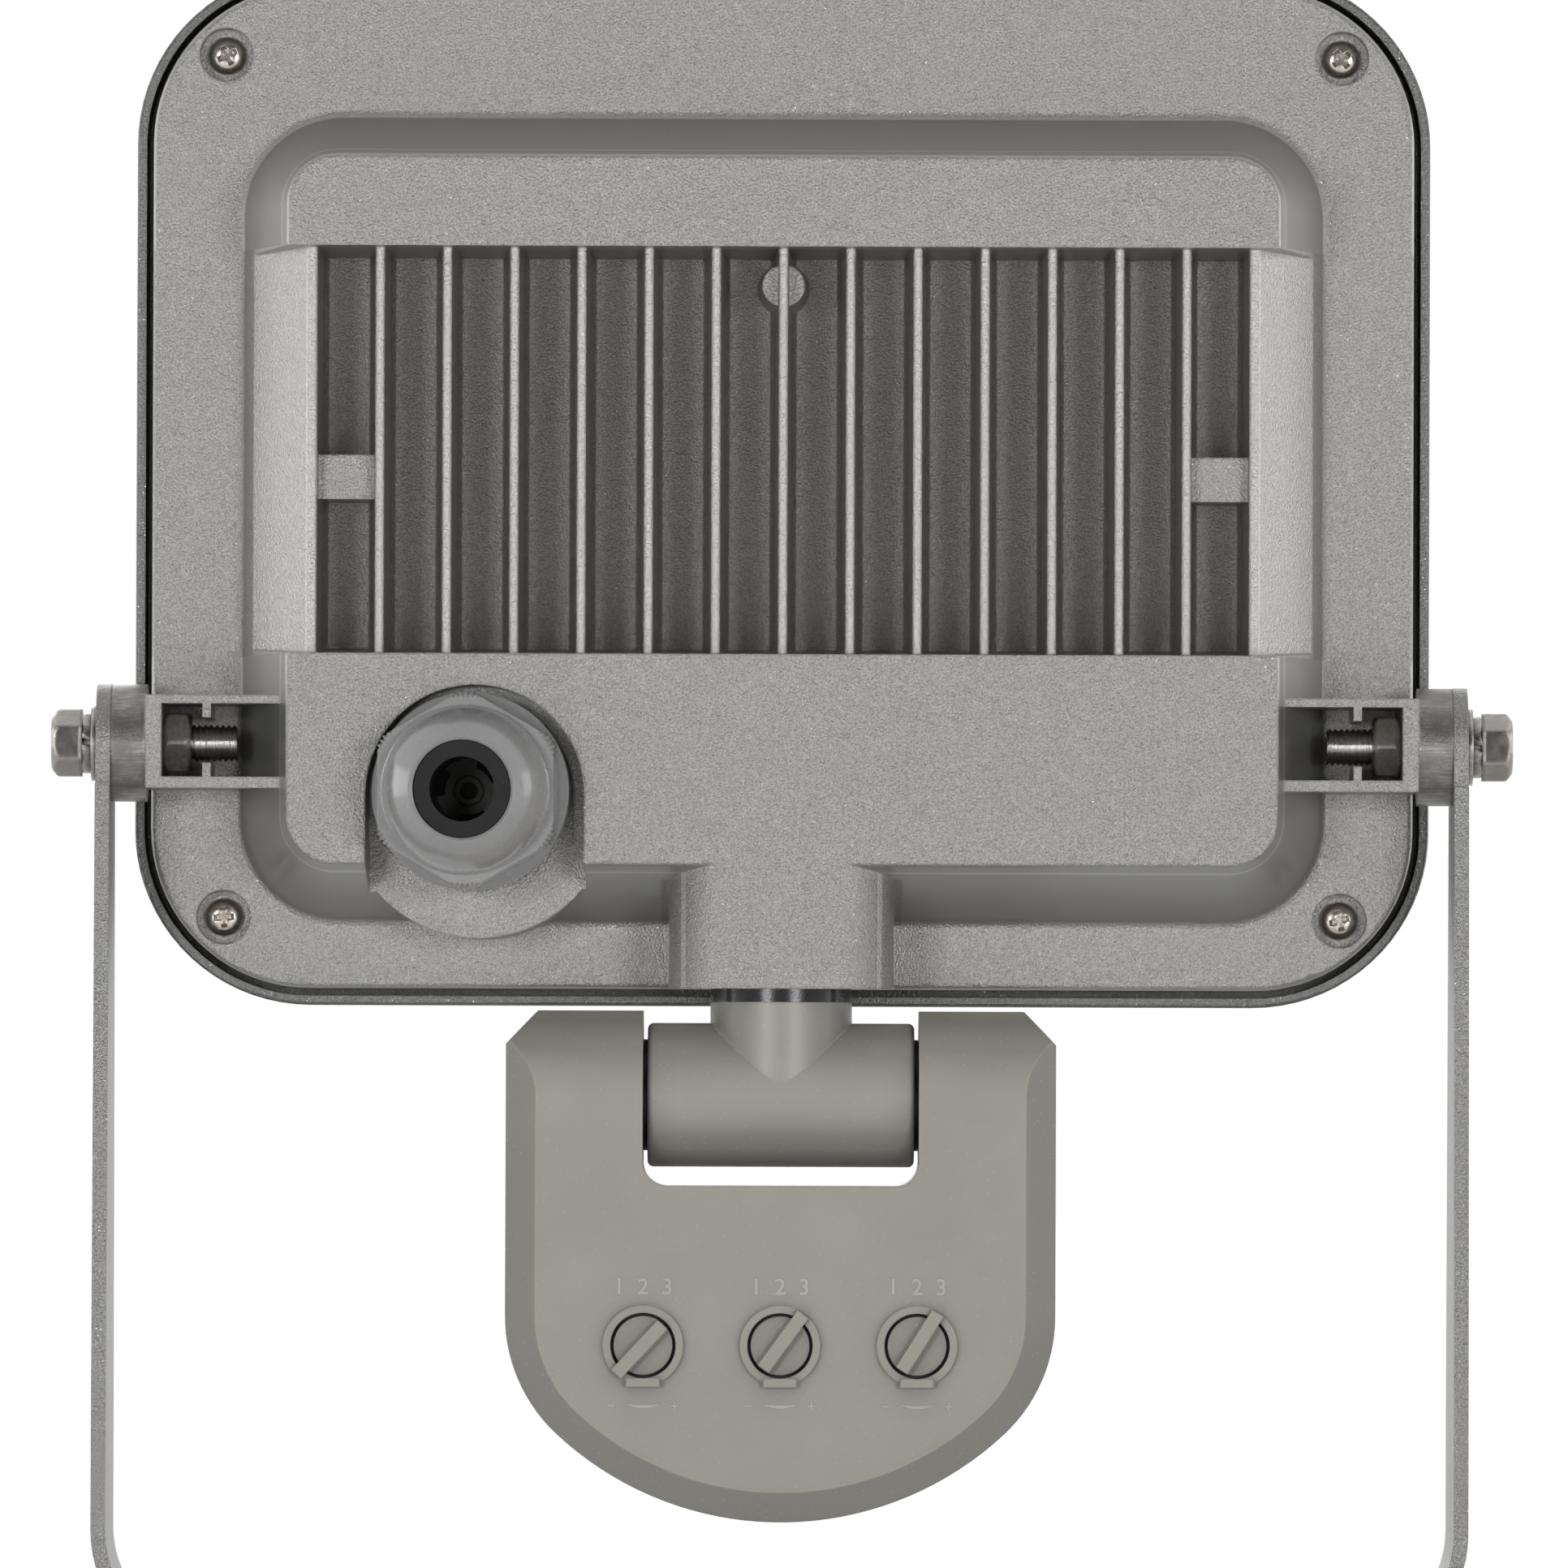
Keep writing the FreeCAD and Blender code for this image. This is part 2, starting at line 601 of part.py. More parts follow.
def solid(kind, label, place, turn=UPRIGHT, **sizes):
    """One of the plain solids with bound sizes, at a bound place."""
    thing = doc.addObject("Part::" + kind, label)
    thing.Placement = FreeCAD.Placement(FreeCAD.Vector(), turn)
    for prop, value in sizes.items():
        bind(thing, prop, value)
    for axis, value in zip("xyz", place):
        bind(thing, "Placement.Base." + axis, value)
    return thing


def box(label, x, y, z, length, width, height):
    """A block about a centre in X and Z that starts at y."""
    place = (x - length / 2, y, z - height / 2)
    return solid("Box", label, place, Length=length, Width=width, Height=height)


def rod(label, radius, length, place, turn=ALONG_Y):
    return solid("Cylinder", label, place, turn, Radius=radius, Height=length)


def hexagon(label, flats, height, place, turn=ALONG_Y):
    """A hexagonal prism, sized across its flats."""
    thing = solid("Prism", label, place, turn, Circumradius=flats / math.sqrt(3), Height=height)
    thing.Polygon = 6
    return thing


def cut(label, base, tool):
    thing = doc.addObject("Part::Cut", label)
    thing.Base = base
    thing.Tool = tool
    return thing


def fuse(label, pieces):
    thing = doc.addObject("Part::MultiFuse", label)
    thing.Shapes = pieces
    return thing


def common(label, pieces):
    thing = doc.addObject("Part::MultiCommon", label)
    thing.Shapes = pieces
    return thing


def group(label, pieces):
    thing = doc.addObject("Part::Compound", label)
    thing.Links = pieces
    return thing


def other_side(thing):
    """The same piece on the other side of the middle plane."""
    mirror = doc.addObject("Part::Mirroring", thing.Label + "_mirrored")
    mirror.Source = thing
    mirror.Normal = FreeCAD.Vector(1, 0, 0)
    return mirror


def pair(label, thing):
    return group(label, [thing, other_side(thing)])


def alone(label, thing):
    """One plain solid as a piece with a placement of its own."""
    return group(label, [thing])


def pan_screw(label, shank, length, head, rise, place, way):
    """A screw along Y whose domed head, with its cross recess, rises one way from its seat."""
    x, seat, z = place
    drop = rise * s.screw_dome
    bulge = (head * head + drop * drop) / (2 * drop)
    stem = rod(label + "_shank", shank, length, (x, seat - length if way > 0 else seat, z))
    disc = rod(label + "_disc", head, rise, (x, seat if way > 0 else seat - rise, z))
    crown = solid("Sphere", label + "_crown", (x, seat + way * (rise - bulge), z), ALONG_Y, Radius=bulge)
    deep = rise * s.cross_depth
    start = seat + way * rise - deep
    reach = head * s.cross_reach * 2
    slim = head * s.cross_width
    cross = fuse(label + "_cross", [box(label + "_bar", x, start, z, reach, deep * 2, slim),
                                    box(label + "_bar", x, start, z, slim, deep * 2, reach)])
    return cut(label, fuse(label + "_whole", [stem, common(label + "_head", [disc, crown])]), cross)


parts = []


def finish(thing, label, x=0.0, y=0.0, z=0.0):
    """Name a finished piece and put its own frame where it belongs."""
    thing.Label = label
    for axis, value in zip("xyz", (x, y, z)):
        bind(thing, "Placement.Base." + axis, value)
    parts.append(thing)
    return thing


def finish_lamp(thing, label):
    return finish(thing, label, z=s.pivot_height)


def finish_sensor(thing, label):
    return finish(thing, label, y=s.stem_setback, z=s.pivot_height - s.hinge_drop)


def finish_gland(thing, label):
    """Gland pieces stand on the leaning seat."""
    thing.Placement = FreeCAD.Placement(FreeCAD.Vector(), FreeCAD.Rotation(FreeCAD.Vector(0, 0, -1), 1))
    bind(thing, "Placement.Rotation.Angle", s.gland_tilt)
    return finish(thing, label, s.gland_x, s.seat_level, s.pivot_height - s.gland_drop)


def draw_slot(sketch, x, y, length, width):
    """A slot with round ends along the sketch's first axis."""
    half = length / 2 - width / 2
    rise = width / 2
    first = draw_path(sketch, [
        ("line", x - half, y - rise, x + half, y - rise, "smooth"),
        ("arc", x + half, y, rise, -90, 90, False, "smooth"),
        ("line", x + half, y + rise, x - half, y + rise, "smooth"),
        ("arc", x - half, y, rise, 90, 270, False, "smooth"),
    ])
    set_radius(sketch, first + 1, rise)
    set_radius(sketch, first + 3, rise)


# bracket

def make_bracket():
    """A strip bent into a U, narrowing towards two round ears, with two fixing slots in its base."""
    body = new_body("bracket")
    zero = Size(0)
    inner = s.bracket_gap / 2
    outer = inner + s.bracket_sheet
    top = s.pivot_height + s.ear_radius
    outer_bend = s.bracket_bend + s.bracket_sheet
    centre = inner - s.bracket_bend
    bend_level = outer_bend
    sketch = new_sketch(body, "XZ")
    first = draw_path(sketch, [
        ("line", -centre, zero, centre, zero, "smooth"),
        ("arc", centre, bend_level, outer_bend, 270, 360, False, "smooth"),
        ("line", outer, bend_level, outer, top, "sharp"),
        ("line", outer, top, inner, top, "sharp"),
        ("line", inner, top, inner, bend_level, "smooth"),
        ("arc", centre, bend_level, s.bracket_bend, 360, 270, True, "smooth"),
        ("line", centre, s.bracket_sheet, -centre, s.bracket_sheet, "smooth"),
        ("arc", -centre, bend_level, s.bracket_bend, 270, 180, True, "smooth"),
        ("line", -inner, bend_level, -inner, top, "sharp"),
        ("line", -inner, top, -outer, top, "sharp"),
        ("line", -outer, top, -outer, bend_level, "smooth"),
        ("arc", -centre, bend_level, outer_bend, 180, 270, False, "smooth"),
    ])
    for index in (1, 11):
        set_radius(sketch, first + index, outer_bend)
    for index in (5, 7):
        set_radius(sketch, first + index, s.bracket_bend)
    for index, x in ((2, outer), (3, inner), (8, -inner), (9, -outer)):
        tie(sketch, first + index, 2, x, top)
    pad(body, sketch, s.base_strip, 0)

    half_base = s.base_strip / 2
    half_arm = s.arm_strip / 2
    shoulder = s.pivot_height - s.ear_shoulder
    spare = s.base_strip
    foot = bend_level + s.bracket_bend
    for side in (1, -1):
        sketch = new_sketch(body, "YZ")
        draw_path(sketch, [
            ("line", side * half_base, foot, side * half_arm, shoulder, "sharp"),
            ("line", side * half_arm, shoulder, side * s.ear_radius, shoulder, "sharp"),
            ("line", side * s.ear_radius, shoulder, side * s.ear_radius, s.pivot_height, "smooth"),
            ("arc", zero, s.pivot_height, s.ear_radius, 0 if side > 0 else 180, 90, side < 0, "sharp"),
            ("line", zero, top, zero, top + spare, "sharp"),
            ("line", zero, top + spare, side * spare, top + spare, "sharp"),
            ("line", side * spare, top + spare, side * spare, foot, "sharp"),
            ("line", side * spare, foot, side * half_base, foot, "sharp"),
        ])
        corners = [(0, side * half_base, foot), (1, side * half_arm, shoulder),
                   (2, side * s.ear_radius, shoulder), (5, zero, top + spare),
                   (6, side * spare, top + spare), (7, side * spare, foot)]
        for index, y, z in corners:
            tie(sketch, index, 1, y, z)
        set_radius(sketch, 3, s.ear_radius)
        pocket(body, sketch, s.bracket_gap * 2, 0)

    sketch = new_sketch(body, "YZ")
    draw_circle(sketch, zero, s.pivot_height, s.bolt_hole)
    pocket(body, sketch, s.bracket_gap * 2, 0)

    sketch = new_sketch(body, "XY")
    for side in (1, -1):
        draw_slot(sketch, side * s.wall_slot_spacing / 2, zero, s.wall_slot_length, s.wall_slot_width)
    pocket(body, sketch, s.bracket_sheet * 2, 0)
    finish(body, "bracket")


# tilt hardware, one piece of each kind on either side

HEX_TURN = ALONG_X.multiply(FreeCAD.Rotation(FreeCAD.Vector(0, 0, 1), 30))


def hex_with_bevel(label, flats, height, x, turn, both):
    """A hexagon along X from x, its corners turned off at one end or at both."""
    prism = hexagon(label + "_hexagon", flats, height, (x, 0, 0), turn)
    crown = flats * s.hex_crown / 2
    spread = height * math.sqrt(3)
    pieces = [prism]
    pieces.append(solid("Cone", label + "_crown", (x, 0, 0), ALONG_X,
                        Radius1=crown + spread, Radius2=crown, Height=height))
    if both:
        pieces.append(solid("Cone", label + "_foot", (x, 0, 0), ALONG_X,
                            Radius1=crown, Radius2=crown + spread, Height=height))
    return common(label, pieces)


def make_tilt_hardware():
    ear = s.bracket_gap / 2 + s.bracket_sheet
    spring = ear + s.washer_sheet
    head = spring + s.spring_sheet
    washer_hole = s.bolt_hole

    shank = rod("bolt_shank", s.bolt_radius, s.bolt_length, (head - s.bolt_length, 0, 0), ALONG_X)
    crown = hex_with_bevel("bolt_head", s.head_flats, s.head_height, head, ALONG_X, False)
    finish_lamp(pair("pivot_bolts", fuse("bolt", [shank, crown])), "pivot_bolts")

    disc = rod("spring_disc", s.spring_radius, s.spring_sheet, (spring, 0, 0), ALONG_X)
    hole = rod("spring_hole", washer_hole, s.spring_sheet, (spring, 0, 0), ALONG_X)
    ring = cut("spring_ring", disc, hole)
    split = box("spring_gap", spring + s.spring_sheet / 2, 0, 0, s.spring_sheet, s.spring_radius * 2,
                s.spring_split)
    finish_lamp(pair("pivot_spring_washers", cut("spring", ring, split)), "pivot_spring_washers")

    disc = rod("washer_disc", s.washer_radius, s.washer_sheet, (ear, 0, 0), ALONG_X)
    hole = rod("washer_hole", washer_hole, s.washer_sheet, (ear, 0, 0), ALONG_X)
    finish_lamp(pair("pivot_washers", cut("washer", disc, hole)), "pivot_washers")

    nut_face = s.bracket_gap / 2 - s.lug_length - s.pocket_wall - s.nut_height
    body = hex_with_bevel("nut_body", s.nut_flats, s.nut_height, nut_face, HEX_TURN, True)
    hole = rod("nut_hole", s.bolt_radius, s.nut_height, (nut_face, 0, 0), ALONG_X)
    finish_lamp(pair("pivot_nuts", cut("nut", body, hole)), "pivot_nuts")


# rear housing

def housing_levels():
    """The housing's main planes along Y: flange back, housing front, bands and bay floor."""
    face = -s.flange_setback
    front = face - s.flange_depth
    band = face + s.raised_height
    floor = band - s.bay_depth
    return face, front, band, floor


def corner_screw_places():
    places = []
    for side in (1, -1):
        for up in (1, -1):
            x = s.flange_width / 2 - s.corner_screw_side
            z = s.flange_height / 2 - s.corner_screw_end
            places.append((side * x, s.flange_rise + up * z))
    return places


def board_screw_places():
    places = []
    for side in (1, -1):
        for up in (1, -1):
            x = s.board_width / 2 - s.board_screw_inset
            z = s.board_height / 2 - s.board_screw_inset
            places.append((side * x, s.board_rise + up * z))
    return places


def gland_sketch(body, height):
    """A sketch on a plane parallel to the leaning gland seat, centred on the gland's axis."""
    sketch = new_sketch(body, "XZ")
    turn = FreeCAD.Rotation(FreeCAD.Vector(0, -1, 0), 1)
    sketch.AttachmentOffset = FreeCAD.Placement(FreeCAD.Vector(), turn)
    bind(sketch, "AttachmentOffset.Rotation.Angle", s.gland_tilt)
    bind(sketch, "AttachmentOffset.Base.x", s.gland_x + height * sine(s.gland_tilt))
    bind(sketch, "AttachmentOffset.Base.y", -s.gland_drop)
    bind(sketch, "AttachmentOffset.Base.z", -(s.seat_level + height * cosine(s.gland_tilt)))
    return sketch


def add_raised_section(body):
    """The flange, and the section with sloped walls that stands on it."""
    face, front, band, floor = housing_levels()
    zero = Size(0)
    sketch = new_sketch(body, "XZ", face)
    draw_rounded_rectangle(sketch, zero, s.flange_rise, s.flange_width, s.flange_height, s.flange_corner)
    pad(body, sketch, s.flange_depth, -1)
    round_edges(body, s.flange_edge, lambda middle, ends: near(middle.y, face))

    foot = new_sketch(body, "XZ", face)
    draw_rounded_rectangle(foot, zero, (s.raised_top - s.raised_bottom) / 2, s.raised_width,
                           s.raised_top + s.raised_bottom, s.raised_corner)
    top = new_sketch(body, "XZ", band)
    draw_rounded_rectangle(top, zero, (s.band_top - s.band_bottom) / 2, s.band_width,
                           s.band_top + s.band_bottom, s.band_corner)
    loft(body, foot, top)
    round_edges(body, s.band_edge, lambda middle, ends: near(middle.y, band))
    wide = s.raised_width.number / 2 + 0.1
    round_edges(body, s.raised_foot, lambda middle, ends: near(middle.y, face) and abs(middle.x) < wide
                and -s.raised_bottom.number - 0.1 < middle.z < s.raised_top.number + 0.1)


def add_fins(body):
    """The open bay between the bands, its side ramps and lips, the fins, bridges and ejector bosses."""
    face, front, band, floor = housing_levels()
    zero = Size(0)
    fin_top = band - s.fin_drop
    half = s.raised_width / 2
    sketch = new_sketch(body, "XZ", band)
    draw_rectangle(sketch, -half - s.raised_height, s.bay_bottom, half + s.raised_height, s.bay_top)
    pocket(body, sketch, s.bay_depth, -1, -s.bay_draft)

    lean = (s.raised_width - s.band_width) / 2 / s.raised_height
    ramp_x = half - lean * s.ramp_foot
    lip = s.fin_pitch * (s.fin_count + 1) / 2 + s.fin_tip / 2
    lip_root = lip - s.fin_tip - (s.fin_root - s.fin_tip) / 2
    start = s.bay_bottom - s.fin_sink
    run = s.bay_top + s.fin_sink - start
    sketch = new_sketch(body, "XY", start)
    for side in (1, -1):
        draw_polygon(sketch, [
            (side * (lip_root - s.fin_foot), face), (side * half, face), (side * ramp_x, face + s.ramp_foot),
            (side * lip, fin_top), (side * (lip - s.fin_tip + s.fin_edge), fin_top),
            (side * (lip - s.fin_tip), fin_top - s.fin_edge), (side * lip_root, floor + s.fin_foot),
            (side * (lip_root - s.fin_foot), floor),
        ])
    pad(body, sketch, run, 1)

    across = s.fin_pitch * (s.fin_count - 1)
    sketch = new_sketch(body, "XY", start)
    middle = -across / 2
    outline = [(s.fin_root / 2 + s.fin_foot, floor), (s.fin_root / 2, floor + s.fin_foot),
               (s.fin_tip / 2, fin_top - s.fin_edge), (s.fin_tip / 2 - s.fin_edge, fin_top)]
    draw_polygon(sketch, [(middle + x, y) for x, y in outline] + [(middle - x, y) for x, y in outline[::-1]])
    fin = pad(body, sketch, run, 1)
    row = body.newObject("PartDesign::LinearPattern", "fins")
    row.Originals = [fin]
    row.Direction = (origin_feature(body, "X_Axis"), [""])
    bind(row, "Length", across)
    bind(row, "Occurrences", s.fin_count)
    body.Tip = row

    sketch = new_sketch(body, "XZ", floor)
    for side in (1, -1):
        inner = side * across / 2
        outer = side * (lip - s.fin_tip / 2)
        left, right = (inner, outer) if side > 0 else (outer, inner)
        draw_rectangle(sketch, left, s.bridge_bottom, right, s.bridge_bottom + s.bridge_height)
    pad(body, sketch, fin_top - s.bridge_drop - floor, 1)

    for level in (s.pin_boss_upper, s.pin_boss_lower):
        sketch = new_sketch(body, "XZ", floor)
        draw_circle(sketch, zero, level, s.pin_boss_radius)
        pad(body, sketch, s.pin_boss_height, 1, -s.bay_draft)


def add_gland_seat(body):
    """A leaning round seat for the cable gland and the arched recess over it."""
    reach = s.seat_level + s.flange_setback + s.floor_wall / 2
    sketch = gland_sketch(body, Size(0))
    draw_circle(sketch, s.seat_x - s.gland_x, s.gland_drop - s.seat_drop, s.seat_radius)
    pad(body, sketch, reach, -1)

    x = s.seat_x - s.gland_x
    arch = s.gland_drop - s.arch_drop
    foot = s.gland_drop - s.raised_bottom
    step = s.gland_drop - s.ledge_end
    sketch = gland_sketch(body, s.ledge_height)
    first = draw_path(sketch, [
        ("line", x - s.arch_radius, foot, x + s.arch_radius, foot, "sharp"),
        ("line", x + s.arch_radius, foot, x + s.arch_radius, arch, "smooth"),
        ("arc", x, arch, s.arch_radius, 0, 180, False, "smooth"),
        ("line", x - s.arch_radius, arch, x - s.arch_radius, foot, "sharp"),
    ])
    tie(sketch, first, 1, x - s.arch_radius, foot)
    tie(sketch, first, 2, x + s.arch_radius, foot)
    set_radius(sketch, first + 2, s.arch_radius)
    pocket(body, sketch, s.raised_height, 1)

    sketch = gland_sketch(body, Size(0))
    wide = s.arch_radius
    slim = s.ledge_radius
    first = draw_path(sketch, [
        ("line", x - wide, foot, x + wide, foot, "sharp"),
        ("line", x + wide, foot, x + wide, step, "sharp"),
        ("line", x + wide, step, x + slim, step, "sharp"),
        ("line", x + slim, step, x + slim, arch, "smooth"),
        ("arc", x, arch, slim, 0, 180, False, "smooth"),
        ("line", x - slim, arch, x - slim, step, "sharp"),
        ("line", x - slim, step, x - wide, step, "sharp"),
        ("line", x - wide, step, x - wide, foot, "sharp"),
    ])
    corners = [(0, x - wide, foot), (1, x + wide, foot), (2, x + wide, step), (3, x + slim, step),
               (6, x - slim, step), (7, x - wide, step)]
    for index, across, up in corners:
        tie(sketch, first + index, 1, across, up)
    set_radius(sketch, first + 4, slim)
    pocket(body, sketch, s.raised_height, 1)


def add_spout(body):
    """The round-shouldered spout at the bottom edge that carries the sensor's stem."""
    face, front, band, floor = housing_levels()
    half = s.spout_width / 2
    base = face - s.floor_wall / 2
    shoulder = band - s.spout_round
    bottom = s.flange_rise - s.flange_height / 2
    start = -s.band_bottom + s.spout_start
    sketch = new_sketch(body, "XY", start)
    first = draw_path(sketch, [
        ("line", -half, base, half, base, "sharp"),
        ("line", half, base, half, shoulder, "smooth"),
        ("arc", half - s.spout_round, shoulder, s.spout_round, 0, 90, False, "smooth"),
        ("line", half - s.spout_round, band, s.spout_round - half, band, "smooth"),
        ("arc", s.spout_round - half, shoulder, s.spout_round, 90, 180, False, "smooth"),
        ("line", -half, shoulder, -half, base, "sharp"),
    ])
    tie(sketch, first, 1, -half, base)
    tie(sketch, first, 2, half, base)
    set_radius(sketch, first + 2, s.spout_round)
    set_radius(sketch, first + 4, s.spout_round)
    pad(body, sketch, start - bottom, -1)


def add_bolt_pockets(body):
    """An open pocket for each tilt bolt's nut, and the lug outside it that meets the bracket."""
    face, front, band, floor = housing_levels()
    zero = Size(0)
    outer = s.bracket_gap / 2 - s.lug_length
    wall = outer - s.pocket_wall
    near_rib = wall - s.keeper_gap
    far_rib = near_rib - s.keeper_rib
    inner = s.band_width / 2
    up = s.pocket_upper
    low = -s.pocket_lower
    base = face - s.floor_wall / 2
    sketch = new_sketch(body, "XZ", base)
    for side in (1, -1):
        outline = [
            (inner, up + s.pocket_roof), (outer, up + s.pocket_roof), (outer, low - s.pocket_sill),
            (inner, low - s.pocket_sill), (inner, low), (far_rib, low), (far_rib, low + s.keeper_reach),
            (near_rib, low + s.keeper_reach), (near_rib, low), (wall, low), (wall, up), (near_rib, up),
            (near_rib, up - s.keeper_reach), (far_rib, up - s.keeper_reach), (far_rib, up), (inner, up),
        ]
        draw_polygon(sketch, [(side * x, z) for x, z in outline])
    pad(body, sketch, s.pocket_rise + s.floor_wall / 2, 1)

    for side in (1, -1):
        sketch = new_sketch(body, "YZ", side * outer)
        draw_circle(sketch, zero, zero, s.lug_radius)
        pad(body, sketch, s.lug_length, side)
        sketch = new_sketch(body, "YZ", side * s.bracket_gap / 2)
        draw_circle(sketch, zero, zero, s.bolt_hole)
        pocket(body, sketch, s.lug_length + s.pocket_wall, -side)


def add_hollows(body):
    """Screw wells, the light chamber, the driver room, and the ways for cable and stem."""
    face, front, band, floor = housing_levels()
    zero = Size(0)
    sketch = new_sketch(body, "XZ", face)
    for x, z in corner_screw_places():
        draw_circle(sketch, x, z, s.well_radius)
    pocket(body, sketch, s.well_depth, -1)
    sketch = new_sketch(body, "XZ", face)
    for x, z in corner_screw_places():
        draw_circle(sketch, x, z, s.screw_hole)
    pocket(body, sketch, s.flange_depth, -1)

    sketch = new_sketch(body, "XZ", front)
    draw_rounded_rectangle(sketch, zero, s.flange_rise, s.chamber_width, s.chamber_height, s.chamber_corner)
    pocket(body, sketch, s.flange_depth - s.floor_wall, 1)
    sketch = new_sketch(body, "XZ", face - s.floor_wall)
    for x, z in board_screw_places():
        draw_circle(sketch, x, z, s.screw_radius)
    pocket(body, sketch, s.board_screw_depth, 1)

    deep = s.flange_depth + s.raised_height - s.band_wall
    sketch = new_sketch(body, "XZ", front)
    draw_rectangle(sketch, -s.room_half, -s.room_bottom, s.room_left, s.room_top)
    pocket(body, sketch, deep, 1)
    sketch = new_sketch(body, "XZ", front)
    draw_rectangle(sketch, -s.room_half, s.upper_room_bottom, s.room_half, s.upper_room_top)
    pocket(body, sketch, deep, 1)

    sketch = gland_sketch(body, -s.seat_wall)
    draw_circle(sketch, s.seat_x - s.gland_x, s.gland_drop - s.seat_drop, s.seat_radius - s.seat_wall)
    pocket(body, sketch, s.seat_level + s.flange_setback + s.floor_wall, -1)
    sketch = gland_sketch(body, Size(0))
    draw_circle(sketch, zero, zero, s.gland_hole)
    pocket(body, sketch, s.seat_wall * 2, -1)
    sketch = new_sketch(body, "XZ", front)
    draw_rectangle(sketch, s.room_left - s.seat_wall, -s.room_bottom, s.gland_x, s.room_top - s.seat_wall)
    pocket(body, sketch, s.seat_level - s.seat_wall * 2 - front, 1)

    bottom = s.flange_rise - s.flange_height / 2
    sketch = new_sketch(body, "XY", bottom)
    draw_circle(sketch, zero, s.stem_setback, s.stem_tube_hole)
    pocket(body, sketch, -s.room_bottom - bottom + s.seat_wall, 1)


def make_housing():
    body = new_body("rear_housing")
    add_raised_section(body)
    add_fins(body)
    add_gland_seat(body)
    add_spout(body)
    add_bolt_pockets(body)
    add_hollows(body)
    finish_lamp(body, "rear_housing")


# front bezel, glass and gaskets

def front_levels():
    """Planes of the front: bezel rear and front, inside of its lip, glass back and front."""
    face, front, band, floor = housing_levels()
    rear = face - s.rim_setback
    glass_back = front - s.rear_gasket
    glass_front = glass_back - s.glass_sheet
    lip = glass_front - s.front_gasket
    tip = lip - s.bezel_lip
    return rear, tip, lip, glass_front, glass_back


def make_bezel():
    """A deep frame over the housing's flange, with screw bosses and a rib that locates the glass."""
    face, front, band, floor = housing_levels()
    rear, tip, lip, glass_front, glass_back = front_levels()
    zero = Size(0)
    rise = s.flange_rise
    edge = s.rim_gap + s.rim_wall
    body = new_body("front_bezel")
    sketch = new_sketch(body, "XZ", rear)
    draw_rounded_rectangle(sketch, zero, rise, s.flange_width + edge * 2, s.flange_height + edge * 2,
                           s.flange_corner + edge)
    pad(body, sketch, rear - tip, -1)
    round_edges(body, s.bezel_round, lambda middle, ends: near(middle.y, tip))
    round_edges(body, s.rim_edge, lambda middle, ends: near(middle.y, rear))

    sketch = new_sketch(body, "XZ", rear)
    draw_rounded_rectangle(sketch, zero, rise, s.flange_width + s.rim_gap * 2,
                           s.flange_height + s.rim_gap * 2, s.flange_corner + s.rim_gap)
    pocket(body, sketch, rear - lip, -1)
    sketch = new_sketch(body, "XZ", tip)
    draw_rounded_rectangle(sketch, zero, rise, s.window_width, s.window_height, s.window_corner)
    pocket(body, sketch, s.bezel_lip, 1)
    reach = s.window_width.number / 2 + 0.1
    bevel_edges(body, s.window_bevel, s.window_bevel,
                lambda middle, ends: near(middle.y, tip) and abs(middle.x) < reach)

    sketch = new_sketch(body, "XZ", lip)
    for x, z in corner_screw_places():
        draw_circle(sketch, x, z, s.bezel_boss)
    pad(body, sketch, front - lip, 1)
    sketch = new_sketch(body, "XZ", front)
    for x, z in corner_screw_places():
        draw_circle(sketch, x, z, s.screw_radius)
    pocket(body, sketch, s.screw_length - s.flange_depth + s.well_depth + s.screw_spare, -1)

    sketch = new_sketch(body, "XZ", lip)
    inner = s.rib_gap
    outer = s.rib_gap + s.rib_wall
    for spread in (outer, inner):
        draw_rounded_rectangle(sketch, zero, rise, s.glass_width + spread * 2,
                               s.glass_height + spread * 2, s.glass_corner + spread)
    pad(body, sketch, glass_back - lip - s.rib_gap, 1)
    finish_lamp(body, "front_bezel")


def make_ring(label, start, depth):
    """A gasket as large as the glass."""
    zero = Size(0)
    body = new_body(label)
    sketch = new_sketch(body, "XZ", start)
    for inset in (zero, s.gasket_width):
        draw_rounded_rectangle(sketch, zero, s.flange_rise, s.glass_width - inset * 2,
                               s.glass_height - inset * 2, s.glass_corner - inset)
    pad(body, sketch, depth, 1)
    finish_lamp(body, label)


def make_glass():
    face, front, band, floor = housing_levels()
    rear, tip, lip, glass_front, glass_back = front_levels()
    body = new_body("front_glass")
    sketch = new_sketch(body, "XZ", glass_front)
    draw_rounded_rectangle(sketch, Size(0), s.flange_rise, s.glass_width, s.glass_height, s.glass_corner)
    pad(body, sketch, s.glass_sheet, 1)
    finish_lamp(body, "front_glass")
    make_ring("glass_gasket", lip, s.front_gasket)
    make_ring("housing_gasket", glass_back, front - glass_back)


def make_bezel_screws():
    """Pan head screws in the housing's corner wells."""
    face, front, band, floor = housing_levels()
    seat = face - s.well_depth
    screws = []
    for x, z in corner_screw_places():
        screws.append(pan_screw("screw", s.screw_radius, s.screw_length, s.screw_head, s.screw_head_height,
                                (x, seat, z), 1))
    finish_lamp(group("bezel_screws", screws), "bezel_screws")


# light chamber

